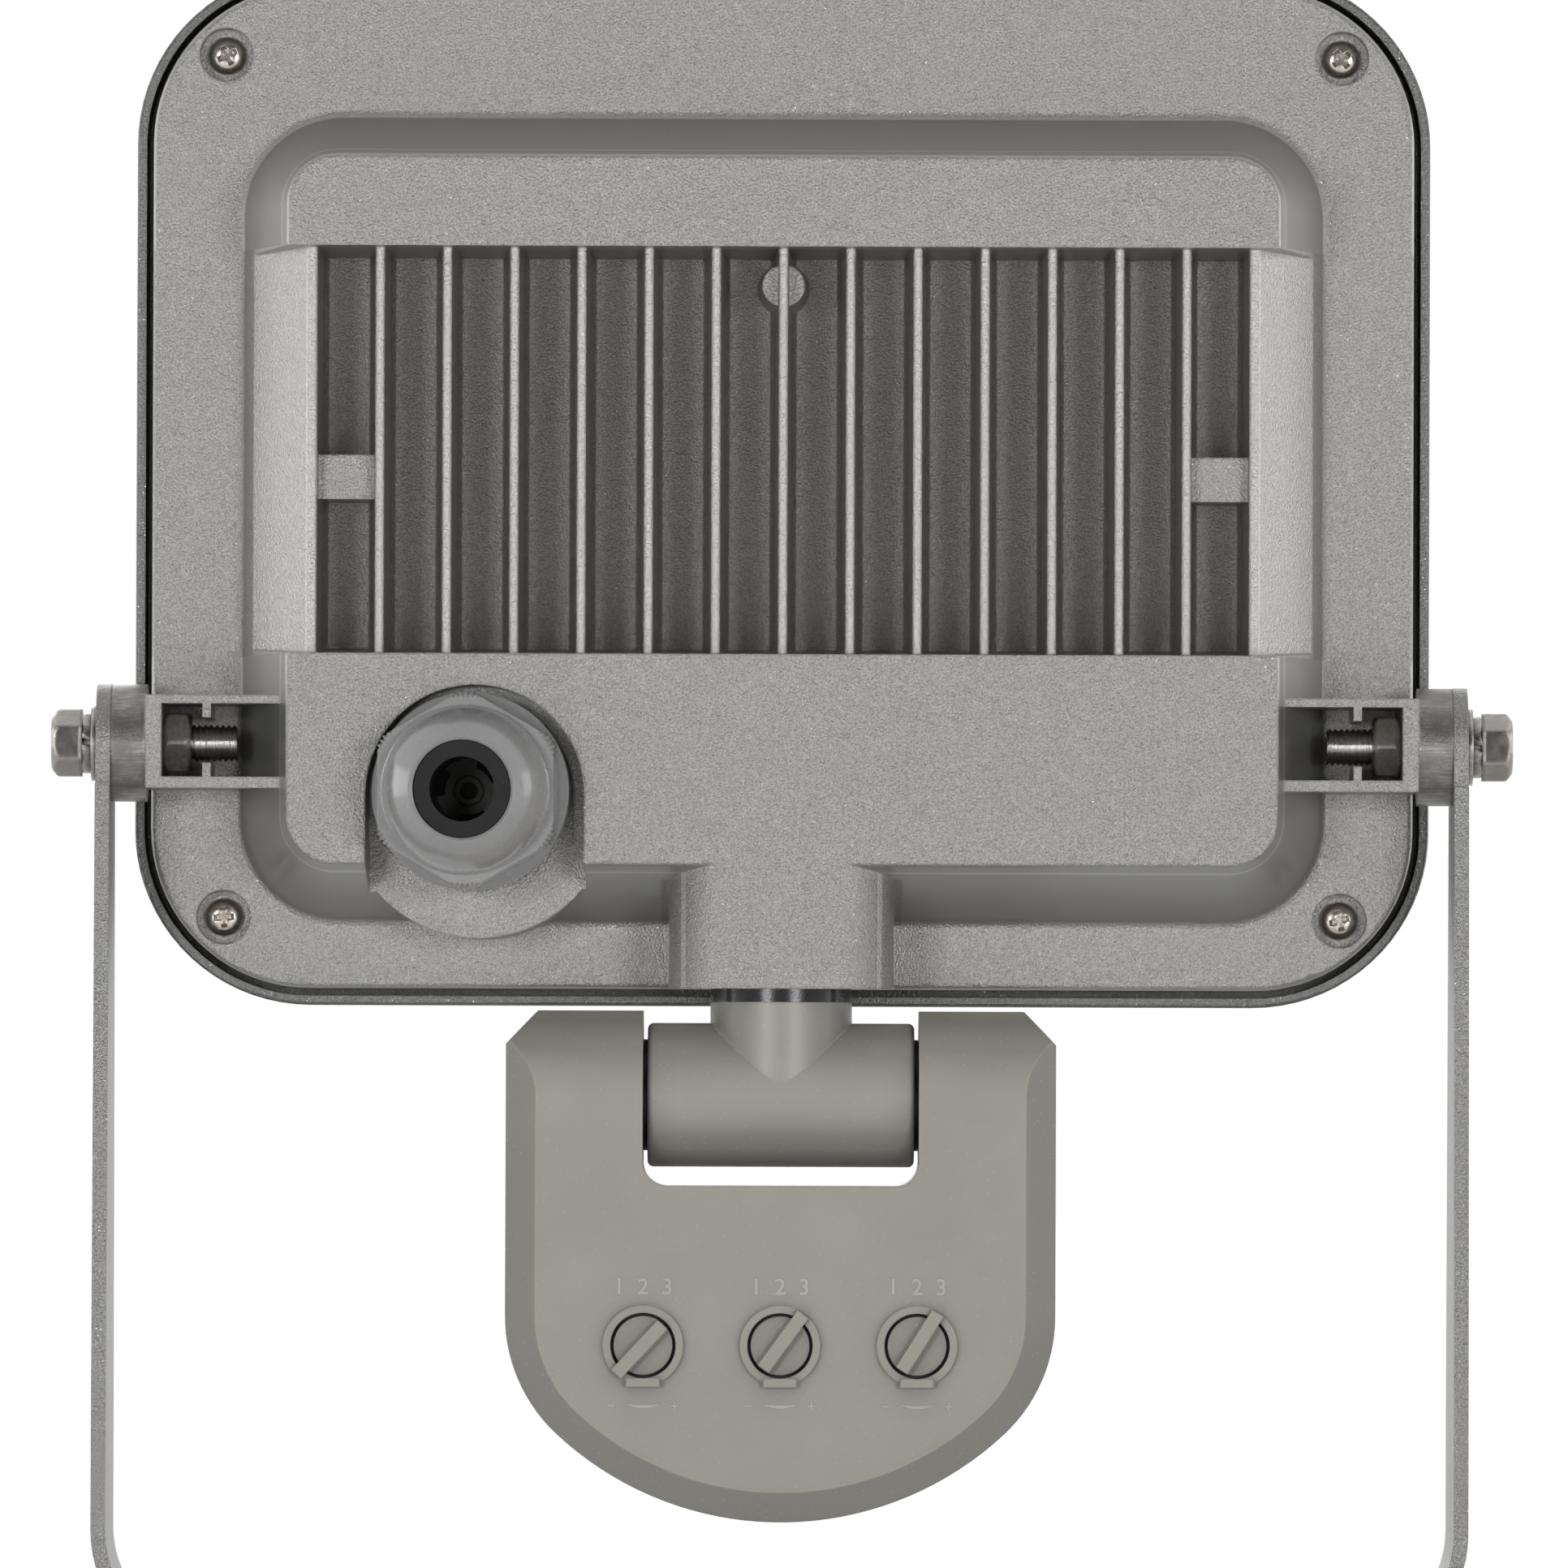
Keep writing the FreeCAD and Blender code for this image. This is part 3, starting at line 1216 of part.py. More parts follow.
def make_leds():
    """The led board with its chips and screws, and the shallow reflector round them."""
    face, front, band, floor = housing_levels()
    rear, tip, lip, glass_front, glass_back = front_levels()
    board_back = face - s.floor_wall
    board_front = board_back - s.board_sheet
    zero = Size(0)
    body = new_body("led_board")
    sketch = new_sketch(body, "XZ", board_front)
    draw_rectangle(sketch, -s.board_width / 2, s.board_rise - s.board_height / 2,
                   s.board_width / 2, s.board_rise + s.board_height / 2)
    for x, z in board_screw_places():
        draw_circle(sketch, x, z, s.screw_hole)
    pad(body, sketch, s.board_sheet, 1)
    finish_lamp(body, "led_board")

    across = s.mouth_width - s.led_side - 2 * s.led_margin_side
    upward = s.mouth_height - s.led_side - 2 * s.led_margin_end
    chips = []
    for column in range(int(s.led_columns.number)):
        for row in range(int(s.led_rows.number)):
            x = across * (column / (s.led_columns - 1) - 0.5)
            z = s.board_rise + upward * (row / (s.led_rows - 1) - 0.5)
            chips.append(box("led", x, board_front - s.led_height, z, s.led_side, s.led_height, s.led_side))
    finish_lamp(group("led_chips", chips), "led_chips")

    screws = []
    for x, z in board_screw_places():
        length = s.board_sheet + s.board_screw_depth
        screws.append(pan_screw("board_screw", s.screw_radius, length, s.board_screw_head, s.board_screw_rise,
                                (x, board_front, z), -1))
    finish_lamp(group("led_board_screws", screws), "led_board_screws")

    sheet_wall = s.reflector_sheet
    foot = board_front - s.reflector_foot
    brim = glass_back + s.reflector_clearance
    wide = s.chamber_width - s.reflector_gap * 2
    high = s.chamber_height - s.reflector_gap * 2
    corner = s.chamber_corner - s.reflector_gap
    body = new_body("reflector")
    sections = []
    for level in (foot, foot - sheet_wall):
        slim = new_sketch(body, "XZ", level)
        draw_rounded_rectangle(slim, zero, s.board_rise, s.mouth_width + sheet_wall * 2,
                               s.mouth_height + sheet_wall * 2, sheet_wall * 2)
        broad = new_sketch(body, "XZ", level - foot + brim)
        draw_rounded_rectangle(broad, zero, s.flange_rise, wide, high, corner)
        sections.append((slim, broad))
    loft(body, *sections[0])
    loft(body, *sections[1], kind="SubtractiveLoft")
    sketch = new_sketch(body, "XZ", board_front)
    half = s.mouth_width / 2
    rise = s.mouth_height / 2
    draw_rectangle(sketch, -half - sheet_wall, s.board_rise - rise - sheet_wall,
                   half + sheet_wall, s.board_rise + rise + sheet_wall)
    pad(body, sketch, s.reflector_foot + sheet_wall, -1)
    sketch = new_sketch(body, "XZ", board_front)
    draw_rectangle(sketch, -half, s.board_rise - rise, half, s.board_rise + rise)
    pocket(body, sketch, board_front - brim + sheet_wall, -1)
    finish_lamp(body, "reflector")


# driver room

def make_driver():
    """The driver board with its larger components, and the terminal block by the gland."""
    face, front, band, floor = housing_levels()
    wall = band - s.band_wall
    board = wall - s.driver_sheet
    x = -s.room_half + s.driver_width / 2 + s.driver_margin
    z = (s.room_top - s.room_bottom) / 2
    plate = box("driver_plate", x, board, z, s.driver_width, s.driver_sheet, s.driver_height)
    finish_lamp(alone("driver_board", plate), "driver_board")
    coil = box("transformer_coil", x - s.driver_width / 5, board - s.transformer_rise, z,
               s.transformer_width, s.transformer_rise, s.transformer_width)
    finish_lamp(alone("driver_transformer", coil), "driver_transformer")
    can = rod("driver_can", s.capacitor_radius, s.capacitor_length,
              (x + s.driver_width / 10, board - s.capacitor_length, z))
    finish_lamp(alone("driver_capacitor", can), "driver_capacitor")
    ring = rod("choke_ring", s.choke_radius, s.choke_rise, (x + s.driver_width / 3, board - s.choke_rise, z))
    hole = rod("choke_hole", s.choke_radius / 2, s.choke_rise,
               (x + s.driver_width / 3, board - s.choke_rise, z))
    finish_lamp(cut("driver_choke", ring, hole), "driver_choke")
    block_x = s.room_left - s.driver_margin - s.terminal_width / 2
    block = box("terminal_housing", block_x, wall - s.terminal_rise, z, s.terminal_width,
                s.terminal_rise, s.terminal_width)
    holes = []
    for side in (1, 0, -1):
        holes.append(rod("terminal_hole", s.screw_radius, s.terminal_rise / 2,
                         (block_x + side * s.terminal_width / 3, wall - s.terminal_rise, z)))
    finish_lamp(cut("terminal_block", block, fuse("terminal_holes", holes)), "terminal_block")


# cable gland, drawn along Y from the seat

def turned(label, axis, outline):
    """A body of revolution about its own Y or Z axis from a closed outline of (radius, height) points."""
    body = new_body(label)
    sketch = new_sketch(body, "XY" if axis == "Y" else "XZ")
    draw_polygon(sketch, outline)
    revolve(body, sketch, axis)
    return body


def sleeve(label, axis, inner, outer, low, high):
    return turned(label, axis, [(inner, low), (outer, low), (outer, high), (inner, high)])


def hexagon_corners(flats):
    corners = []
    for turn in range(6):
        angle = Size(turn * 60.0)
        corners.append((flats / math.sqrt(3) * cosine(angle), flats / math.sqrt(3) * sine(angle)))
    return corners


def make_gland():
    zero = Size(0)
    collar = s.gland_washer_height
    crown = collar + s.gland_collar_height
    nut_foot = crown + s.gland_nut_gap
    dome_foot = nut_foot + s.gland_nut_height
    dome_top = dome_foot + s.gland_dome_height
    spigot_end = dome_foot - s.gland_spigot_gap
    seal_end = dome_top - s.seal_sink
    seal_start = seal_end - s.seal_length

    washer = sleeve("gland_washer", "Y", s.gland_hole, s.ledge_radius - s.gland_washer_gap, zero, collar)
    finish_gland(washer, "gland_washer")

    tube = s.gland_bore
    outline = [(tube, -s.gland_tail), (s.gland_thread, -s.gland_tail), (s.gland_thread, collar),
               (s.gland_collar, collar), (s.gland_collar, crown), (s.gland_spigot, crown),
               (s.gland_spigot, spigot_end), (tube, spigot_end)]
    finish_gland(turned("gland_body", "Y", outline), "gland_body")

    finish_gland(sleeve("gland_seal", "Y", s.seal_bore, s.seal_outer, seal_start, seal_end), "gland_seal")

    disc = sleeve("gland_dust_disc", "Y", s.dust_hole, s.dust_disc, seal_start - s.dust_sheet, seal_start)
    finish_gland(disc, "gland_dust_disc")

    claw = sleeve("gland_claw", "Y", s.claw_inner, s.claw_outer, spigot_end, spigot_end + s.claw_height)
    slots = new_sketch(claw, "XZ", spigot_end + s.claw_height)
    reach = s.claw_outer
    half = s.claw_slot / 2
    draw_polygon(slots, [(-reach, -half), (-half, -half), (-half, -reach), (half, -reach), (half, -half),
                         (reach, -half), (reach, half), (half, half), (half, reach), (-half, reach),
                         (-half, half), (-reach, half)])
    pocket(claw, slots, s.claw_height - s.claw_foot, -1)
    finish_gland(claw, "gland_claw")

    body = new_body("gland_nut")
    sketch = new_sketch(body, "XZ", nut_foot)
    draw_polygon(sketch, hexagon_corners(s.gland_nut_flats))
    draw_circle(sketch, zero, zero, s.gland_mouth)
    pad(body, sketch, s.gland_nut_height, 1)
    sketch = new_sketch(body, "XY")
    beyond = s.gland_nut_corner + s.gland_nut_flats / 4
    draw_polygon(sketch, [(s.gland_nut_corner, nut_foot), (beyond, nut_foot), (beyond, dome_foot),
                          (s.gland_nut_corner, dome_foot)])
    revolve(body, sketch, "Y", "Groove")
    sketch = new_sketch(body, "XY")
    centre = s.gland_dome - s.gland_dome_round
    rise = math.degrees(math.asin(s.gland_dome_height.number / s.gland_dome_round.number))
    edge = centre.number + s.gland_dome_round.number * math.cos(math.radians(rise))
    first = draw_path(sketch, [
        ("line", s.gland_mouth, dome_foot, s.gland_dome, dome_foot, "sharp"),
        ("arc", centre, dome_foot, s.gland_dome_round, 0, rise, False, "sharp"),
        ("line", edge, dome_top, s.gland_mouth, dome_top, "sharp"),
        ("line", s.gland_mouth, dome_top, s.gland_mouth, dome_foot, "sharp"),
    ])
    tie(sketch, first, 1, s.gland_mouth, dome_foot)
    tie(sketch, first, 2, s.gland_dome, dome_foot)
    tie(sketch, first + 3, 1, s.gland_mouth, dome_top)
    sketch.addConstraint(Sketcher.Constraint("Horizontal", first + 2))
    revolve(body, sketch, "Y")
    sketch = new_sketch(body, "XY")
    within = s.gland_mouth / 2
    bore_end = spigot_end + s.claw_height / 2
    draw_polygon(sketch, [
        (within, nut_foot), (s.gland_nut_bore, nut_foot), (s.gland_nut_bore, bore_end),
        (s.claw_outer + s.claw_gap, spigot_end + s.claw_height),
        (s.gland_mouth, dome_top - s.gland_rim), (within, dome_top - s.gland_rim),
    ])
    revolve(body, sketch, "Y", "Groove")
    finish_gland(body, "gland_nut")

    body = new_body("gland_locknut")
    low = -s.seat_wall - s.locknut_height
    sketch = new_sketch(body, "XZ", low)
    draw_polygon(sketch, hexagon_corners(s.gland_nut_flats))
    draw_circle(sketch, zero, zero, s.gland_thread)
    pad(body, sketch, s.locknut_height, 1)
    sketch = new_sketch(body, "XY")
    draw_polygon(sketch, [(s.gland_nut_corner, low), (beyond, low), (beyond, -s.seat_wall),
                          (s.gland_nut_corner, -s.seat_wall)])
    revolve(body, sketch, "Y", "Groove")
    finish_gland(body, "gland_locknut")


# sensor stem, drawn about the sensor's hinge axis

def make_stem():
    zero = Size(0)
    half = s.barrel_width / 2
    spout = s.hinge_drop + s.flange_rise - s.flange_height / 2
    neck_top = spout - s.stem_seal_height
    room = s.hinge_drop - s.room_bottom
    tube_top = room + s.stem_nut_height + s.stem_tube_end

    body = new_body("sensor_stem")
    sketch = new_sketch(body, "YZ", -half)
    draw_circle(sketch, zero, zero, s.barrel_radius)
    pad(body, sketch, s.barrel_width, 1)
    round_edges(body, s.barrel_edge, lambda middle, ends: near(abs(middle.x), half))
    sketch = new_sketch(body, "XY")
    draw_circle(sketch, zero, zero, s.neck_radius)
    pad(body, sketch, neck_top, 1)
    sketch = new_sketch(body, "XY")
    draw_circle(sketch, zero, zero, s.stem_tube)
    pad(body, sketch, tube_top, 1)
    sketch = new_sketch(body, "YZ")
    draw_circle(sketch, zero, zero, s.hinge_tube + s.hinge_play)
    pocket(body, sketch, s.barrel_width * 2, 0)
    sketch = new_sketch(body, "XY")
    draw_circle(sketch, zero, zero, s.stem_wire_hole)
    pocket(body, sketch, tube_top, 1)
    finish_sensor(body, "sensor_stem")

    ring = sleeve("stem_seal", "Z", s.stem_tube, s.neck_radius, neck_top, spout)
    finish_sensor(ring, "stem_seal")

    body = new_body("stem_locknut")
    sketch = new_sketch(body, "XY", room)
    draw_polygon(sketch, hexagon_corners(s.stem_nut_flats))
    draw_circle(sketch, zero, zero, s.stem_tube)
    pad(body, sketch, s.stem_nut_height, 1)
    finish_sensor(body, "stem_locknut")

    hole = rod("disc_hole", s.hinge_tube, s.disc_sheet, (half, 0, 0), ALONG_X)
    disc = rod("disc_sheet", s.disc_radius, s.disc_sheet, (half, 0, 0), ALONG_X)
    finish_sensor(pair("hinge_discs", cut("disc", disc, hole)), "hinge_discs")

    start = half + s.disc_sheet + s.trunnion_depth - s.hinge_tube_length
    tube = rod("tube_outside", s.hinge_tube, s.hinge_tube_length, (start, 0, 0), ALONG_X)
    bore = rod("tube_bore", s.hinge_tube_bore, s.hinge_tube_length, (start, 0, 0), ALONG_X)
    finish_sensor(pair("hinge_tubes", cut("tube", tube, bore)), "hinge_tubes")


# sensor head, drawn about its hinge axis

def draw_head(sketch, inset, fork):
    """The head's outline with its round bottom, and at its top either the fork or a straight line."""
    zero = Size(0)
    half = s.head_width / 2 - inset
    offset = s.head_width / 2 - s.head_side_round
    drop = s.head_bottom - s.head_straight
    side = s.head_side_round - inset
    sweep = offset * offset + drop * drop - s.head_side_round * s.head_side_round
    round_bottom = sweep / (2 * (drop - s.head_side_round))
    centre = round_bottom - s.head_bottom
    meet = math.degrees(math.atan2(-s.head_straight.number - centre.number, offset.number))
    top = s.head_half_depth if fork else -s.cavity_top
    inner = s.fork_gap / 2
    steps = [
        ("line", half, top, half, -s.head_straight, "smooth"),
        ("arc", offset, -s.head_straight, side, 0, meet, True, "smooth"),
        ("arc", zero, centre, round_bottom - inset, meet, -180 - meet, True, "smooth"),
        ("arc", -offset, -s.head_straight, side, -180 - meet, -180, True, "smooth"),
        ("line", -half, -s.head_straight, -half, top, "sharp"),
    ]
    if fork:
        floor = s.fork_round - s.fork_floor
        bend = inner - s.fork_round
        steps += [
            ("line", -half, top, -inner, top, "sharp"),
            ("line", -inner, top, -inner, floor, "smooth"),
            ("arc", -bend, floor, s.fork_round, 180, 270, False, "smooth"),
            ("line", -bend, -s.fork_floor, bend, -s.fork_floor, "smooth"),
            ("arc", bend, floor, s.fork_round, 270, 360, False, "smooth"),
            ("line", inner, floor, inner, top, "sharp"),
            ("line", inner, top, half, top, "sharp"),
        ]
    else:
        steps.append(("line", -half, top, half, top, "sharp"))
    first = draw_path(sketch, steps)
    tie(sketch, first, 1, half, top)
    tie(sketch, first + 4, 2, -half, top)
    set_radius(sketch, first + 1, side)
    if fork:
        tie(sketch, first + 6, 1, -inner, top)
        tie(sketch, first + 11, 1, inner, top)
        set_radius(sketch, first + 7, s.fork_round)
        set_radius(sketch, first + 9, s.fork_round)


def post_places():
    places = []
    for side in (1, -1):
        places.append((side * s.post_upper_x, -s.post_upper_drop))
        places.append((side * s.post_lower_x, -s.post_lower_drop))
    return places


def knob_places():
    return [(side * s.knob_pitch, -s.knob_drop) for side in (1, 0, -1)]


def start_shell(label, side):
    """One half of the head: its outline, edges, cropped ear corners, rounded top, cavity and posts."""
    zero = Size(0)
    half = s.head_width / 2
    depth = s.head_half_depth
    body = new_body(label)
    sketch = new_sketch(body, "XZ")
    draw_head(sketch, zero, True)
    pad(body, sketch, depth, side)
    outer = half.number
    low = -s.head_straight.number

    def on_edge(middle, ends):
        return near(middle.y, side * depth) and (near(abs(middle.x), outer) or middle.z < low)

    if side > 0:
        bevel_edges(body, s.bevel_width, s.bevel_depth, on_edge, True)
    else:
        round_edges(body, s.face_round, on_edge)

    sketch = new_sketch(body, "XZ")
    for way in (1, -1):
        draw_polygon(sketch, [
            (way * (half - s.ear_chamfer_x), depth), (way * half, depth - s.ear_chamfer_z),
            (way * (half + 1), depth - s.ear_chamfer_z), (way * (half + 1), depth + 1),
            (way * (half - s.ear_chamfer_x), depth + 1),
        ])
    pocket(body, sketch, depth * 2, 0)
    sketch = new_sketch(body, "YZ")
    first = draw_path(sketch, [
        ("arc", zero, zero, depth, 0 if side > 0 else 180, 90, side < 0, "sharp"),
        ("line", zero, depth, zero, depth * 2, "sharp"),
        ("line", zero, depth * 2, side * depth * 2, depth * 2, "sharp"),
        ("line", side * depth * 2, depth * 2, side * depth * 2, zero, "sharp"),
        ("line", side * depth * 2, zero, side * depth, zero, "sharp"),
    ])
    corners = ((1, zero, depth), (2, zero, depth * 2), (3, side * depth * 2, depth * 2),
               (4, side * depth * 2, zero))
    for index, y, z in corners:
        tie(sketch, first + index, 1, y, z)
    sketch.addConstraint(Sketcher.Constraint("Horizontal", first + 4))
    pocket(body, sketch, s.head_width * 2, 0)

    sketch = new_sketch(body, "XZ")
    draw_head(sketch, s.shell_wall, False)
    pocket(body, sketch, depth - s.shell_wall, side)
    sketch = new_sketch(body, "XZ")
    for x, z in post_places():
        draw_circle(sketch, x, z, s.post_radius)
    pad(body, sketch, depth - s.shell_wall + s.post_bite, side)
    for way in (1, -1):
        sketch = new_sketch(body, "YZ", way * s.fork_gap / 2)
        draw_circle(sketch, zero, zero, s.hinge_tube)
        pocket(body, sketch, s.trunnion_depth, way)
    return body


def make_back_shell():
    """The half with the adjusters: bevelled edges, raised rings, and a stop lug under each knob."""
    depth = s.head_half_depth
    body = start_shell("sensor_back_shell", 1)
    sketch = new_sketch(body, "XZ", depth - s.shell_wall / 2)
    for x, z in knob_places():
        draw_circle(sketch, x, z, s.collar_outer)
    pad(body, sketch, s.collar_height + s.shell_wall / 2, 1)
    sketch = new_sketch(body, "XZ", depth - s.shell_wall / 2)
    for x, z in knob_places():
        foot = z - s.collar_inner
        draw_rectangle(sketch, x - s.stop_width / 2, foot - s.stop_depth, x + s.stop_width / 2, foot)
    pad(body, sketch, s.stop_height + s.shell_wall / 2, 1)
    sketch = new_sketch(body, "XZ", depth + s.collar_height)
    for x, z in knob_places():
        draw_circle(sketch, x, z, s.collar_inner)
    pocket(body, sketch, s.collar_height + s.shell_wall, -1)
    sketch = new_sketch(body, "XZ")
    for x, z in post_places():
        draw_circle(sketch, x, z, s.post_hole)
    pocket(body, sketch, depth - s.shell_wall * 2, 1)
    finish_sensor(body, "sensor_back_shell")


def make_front_shell():
    """The half with the lens opening and the screw recesses."""
    depth = s.head_half_depth
    body = start_shell("sensor_front_shell", -1)
    hollow = body.newObject("PartDesign::SubtractiveEllipsoid", "lens_opening")
    hollow.AttachmentSupport = [(origin_feature(body, "XZ_Plane"), "")]
    hollow.MapMode = "FlatFace"
    bind(hollow, "AttachmentOffset.Base.y", -s.lens_drop)
    bind(hollow, "AttachmentOffset.Base.z", depth - s.shell_wall - s.lens_lip_sheet)
    bind(hollow, "Radius1", s.lens_bulge + s.lens_gap)
    bind(hollow, "Radius2", s.lens_half_width + s.lens_gap)
    bind(hollow, "Radius3", s.lens_half_height + s.lens_gap)
    sketch = new_sketch(body, "XZ")
    for x, z in post_places():
        draw_circle(sketch, x, z, s.post_hole)
    pocket(body, sketch, depth, -1)
    sketch = new_sketch(body, "XZ", -depth)
    for x, z in post_places():
        draw_circle(sketch, x, z, s.post_sink)
    pocket(body, sketch, s.post_sink_depth, 1)
    finish_sensor(body, "sensor_front_shell")


def make_lens():
    """A bulging lens with a flange held behind the front shell."""
    root_level = s.lens_lip_sheet + s.shell_wall - s.head_half_depth
    ahead = FreeCAD.Rotation(FreeCAD.Vector(1, 0, 0), 90)
    place = (0, root_level, -s.lens_drop)
    dome = solid("Ellipsoid", "lens_dome", place, ahead, Radius1=s.lens_bulge, Radius2=s.lens_half_width,
                 Radius3=s.lens_half_height)
    dome.Angle1 = 0
    brim = solid("Ellipsoid", "lens_brim", place, ahead, Radius1=s.lens_bulge * 4,
                 Radius2=s.lens_half_width + s.lens_lip, Radius3=s.lens_half_height + s.lens_lip)
    brim.Angle1 = 0
    slab = box("lens_slab", 0, root_level - s.lens_lip_sheet, -s.lens_drop, s.head_width,
               s.lens_lip_sheet, s.head_width)
    hollow = solid("Ellipsoid", "lens_hollow", place, ahead, Radius1=s.lens_bulge - s.lens_wall,
                   Radius2=s.lens_half_width - s.lens_wall, Radius3=s.lens_half_height - s.lens_wall)
    shell = fuse("lens_outside", [dome, common("lens_flange", [brim, slab])])
    finish_sensor(cut("sensor_lens", shell, hollow), "sensor_lens")


def make_works():
    """What is inside the head: board, motion element, photocell, relay, adjusters and screws."""
    face = s.works_sheet / 2
    room = s.head_half_depth - s.shell_wall
    middle = -s.works_top - s.works_height / 2
    plate = box("sensor_plate", 0, -face, middle, s.works_width, s.works_sheet, s.works_height)
    finish_sensor(alone("sensor_board", plate), "sensor_board")
    can = rod("element_can", s.element_radius, s.element_height, (0, -face - s.element_height, -s.lens_drop))
    finish_sensor(alone("pir_element", can), "pir_element")
    cell = rod("cell_can", s.cell_radius, s.cell_height, (s.cell_x, -face - s.cell_height, -s.lens_drop))
    finish_sensor(alone("photocell", cell), "photocell")
    relay = box("relay_case", -s.relay_x, face, -s.works_top - s.relay_height / 2,
                s.relay_width, s.relay_depth, s.relay_height)
    finish_sensor(alone("relay", relay), "relay")
    pots = []
    for x, z in knob_places():
        pots.append(box("pot_case", x, face, z, s.pot_side, room - face, s.pot_side))
    holes = [rod("pot_hole", s.knob_shaft, room, (x, face, z)) for x, z in knob_places()]
    cases = [cut("pot", case, hole) for case, hole in zip(pots, holes)]
    finish_sensor(group("adjuster_pots", cases), "adjuster_pots")

    seat = s.post_sink_depth - s.head_half_depth
    screws = []
    for x, z in post_places():
        screws.append(pan_screw("shell_screw", s.post_hole, s.shell_screw, s.shell_screw_head,
                                s.shell_screw_rise, (x, seat, z), -1))
    finish_sensor(group("shell_screws", screws), "shell_screws")


def make_knob(label, x, turn):
    """An adjuster knob: shaft, disc and a pointer bar whose tip passes over the ring."""
    top = s.head_half_depth - s.knob_sink
    bottom = top - s.knob_sheet
    over = s.head_half_depth + s.collar_height + s.knob_clearance
    bar_top = top + s.knob_bar_height
    within = s.knob_radius
    shaft = rod("knob_shaft", s.knob_shaft, bottom - s.works_sheet, (0, s.works_sheet, 0))
    disc = rod("knob_disc", s.knob_radius, s.knob_sheet, (0, bottom, 0))
    low = box("knob_bar", 0, top, (within - s.knob_tail) / 2, s.knob_bar, s.knob_bar_height,
              within + s.knob_tail)
    tip = box("knob_tip", 0, over, s.knob_tip / 2, s.knob_bar, bar_top - over, s.knob_tip)
    knob = fuse(label, [shaft, disc, low, tip])
    knob.Placement = FreeCAD.Placement(FreeCAD.Vector(), FreeCAD.Rotation(FreeCAD.Vector(0, 1, 0), 1))
    bind(knob, "Placement.Rotation.Angle", turn)
    finish(knob, label, x, s.stem_setback, s.pivot_height - s.hinge_drop - s.knob_drop)


# build every piece

make_bracket()
make_tilt_hardware()
make_housing()
make_bezel()
make_glass()
make_bezel_screws()
make_leds()
make_driver()
make_gland()
make_stem()
make_back_shell()
make_front_shell()
make_lens()
make_works()
make_knob("time_knob", s.knob_pitch, s.time_turn)
make_knob("sens_knob", Size(0), s.sens_turn)
make_knob("lux_knob", -s.knob_pitch, s.lux_turn)

doc.recompute()
for thing in doc.Objects:
    if "Invalid" in thing.State or "Error" in thing.State:
        raise RuntimeError("%s could not be made" % thing.Label)
os.makedirs("parts", exist_ok=True)
for thing in parts:
    if thing.Shape.isNull() or not thing.Shape.isValid():
        raise RuntimeError("%s has no valid shape" % thing.Label)
    thing.Shape.exportStep("parts/%s.step" % thing.Label)
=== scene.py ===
import math
import bmesh
import bpy
from mathutils import Matrix, Vector


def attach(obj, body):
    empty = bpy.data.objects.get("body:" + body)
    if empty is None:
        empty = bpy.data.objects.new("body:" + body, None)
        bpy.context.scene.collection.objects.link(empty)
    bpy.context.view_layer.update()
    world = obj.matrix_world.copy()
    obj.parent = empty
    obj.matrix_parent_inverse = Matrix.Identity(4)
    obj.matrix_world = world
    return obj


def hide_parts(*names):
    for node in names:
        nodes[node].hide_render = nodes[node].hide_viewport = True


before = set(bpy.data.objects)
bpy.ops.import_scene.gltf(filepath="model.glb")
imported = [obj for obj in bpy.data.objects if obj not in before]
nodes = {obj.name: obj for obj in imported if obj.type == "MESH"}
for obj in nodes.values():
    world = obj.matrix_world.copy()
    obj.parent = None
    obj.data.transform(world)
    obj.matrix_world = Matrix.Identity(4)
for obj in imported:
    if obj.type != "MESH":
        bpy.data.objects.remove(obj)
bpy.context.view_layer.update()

mm = 0.001
for leftover in ("Cube", "Light", "Camera"):
    if leftover in bpy.data.objects:
        bpy.data.objects.remove(bpy.data.objects[leftover])

# all lengths below are in millimetres, heights from the foot of the bracket
print("studio")
cameraValues = {"place": (0, 2300, 78.6), "aim": (-0.28, 0, 119.1), "roll": 0.2, "lens": 385.7,
                "nearest": 50, "furthest": 60000}
lampValues = {
    "left box": {"place": (-1200, -250, 110), "aim": (0, 0, 120), "size": (900, 800), "watts": 3.6},
    "right box": {"place": (1200, -250, 110), "aim": (0, 0, 120), "size": (900, 800), "watts": 3.9},
    "left front box": {"place": (-820, 1900, 110), "aim": (0, 0, 120), "size": (480, 700), "watts": 12},
    "right front box": {"place": (820, 1900, 110), "aim": (0, 0, 120), "size": (480, 700), "watts": 12},
    "far fill": {"place": (500, -1900, 1000), "aim": (0, 0, 120), "size": (1200, 1200), "watts": 8},
}
worldValues = {"ambient": 0.10, "darkSide": 0.12, "from": 0.15, "to": 0.75}
floorValues = {"radius": 6000, "drop": 0.05, "sides": 96, "fadeFrom": 160, "fadeTo": 390, "least": 0.5,
               "mottle": 9, "dark": (0.84, 0.84, 0.835, 1), "pale": (0.88, 0.88, 0.875, 1)}


def aimed(values):
    # stands at its place and looks at its aim
    turn = (Vector(values["aim"]) - Vector(values["place"])).to_track_quat("-Z", "Y")
    return Matrix.Translation(Vector(values["place"]) * mm) @ turn.to_matrix().to_4x4()


def setCamera(values):
    data = bpy.data.cameras.new("camera")
    data.lens = values["lens"]
    data.clip_start = values["nearest"] * mm
    data.clip_end = values["furthest"] * mm
    camera = bpy.data.objects.new("camera", data)
    camera.matrix_world = aimed(values) @ Matrix.Rotation(math.radians(values["roll"]), 4, "Z")
    bpy.context.collection.objects.link(camera)
    bpy.context.scene.camera = camera


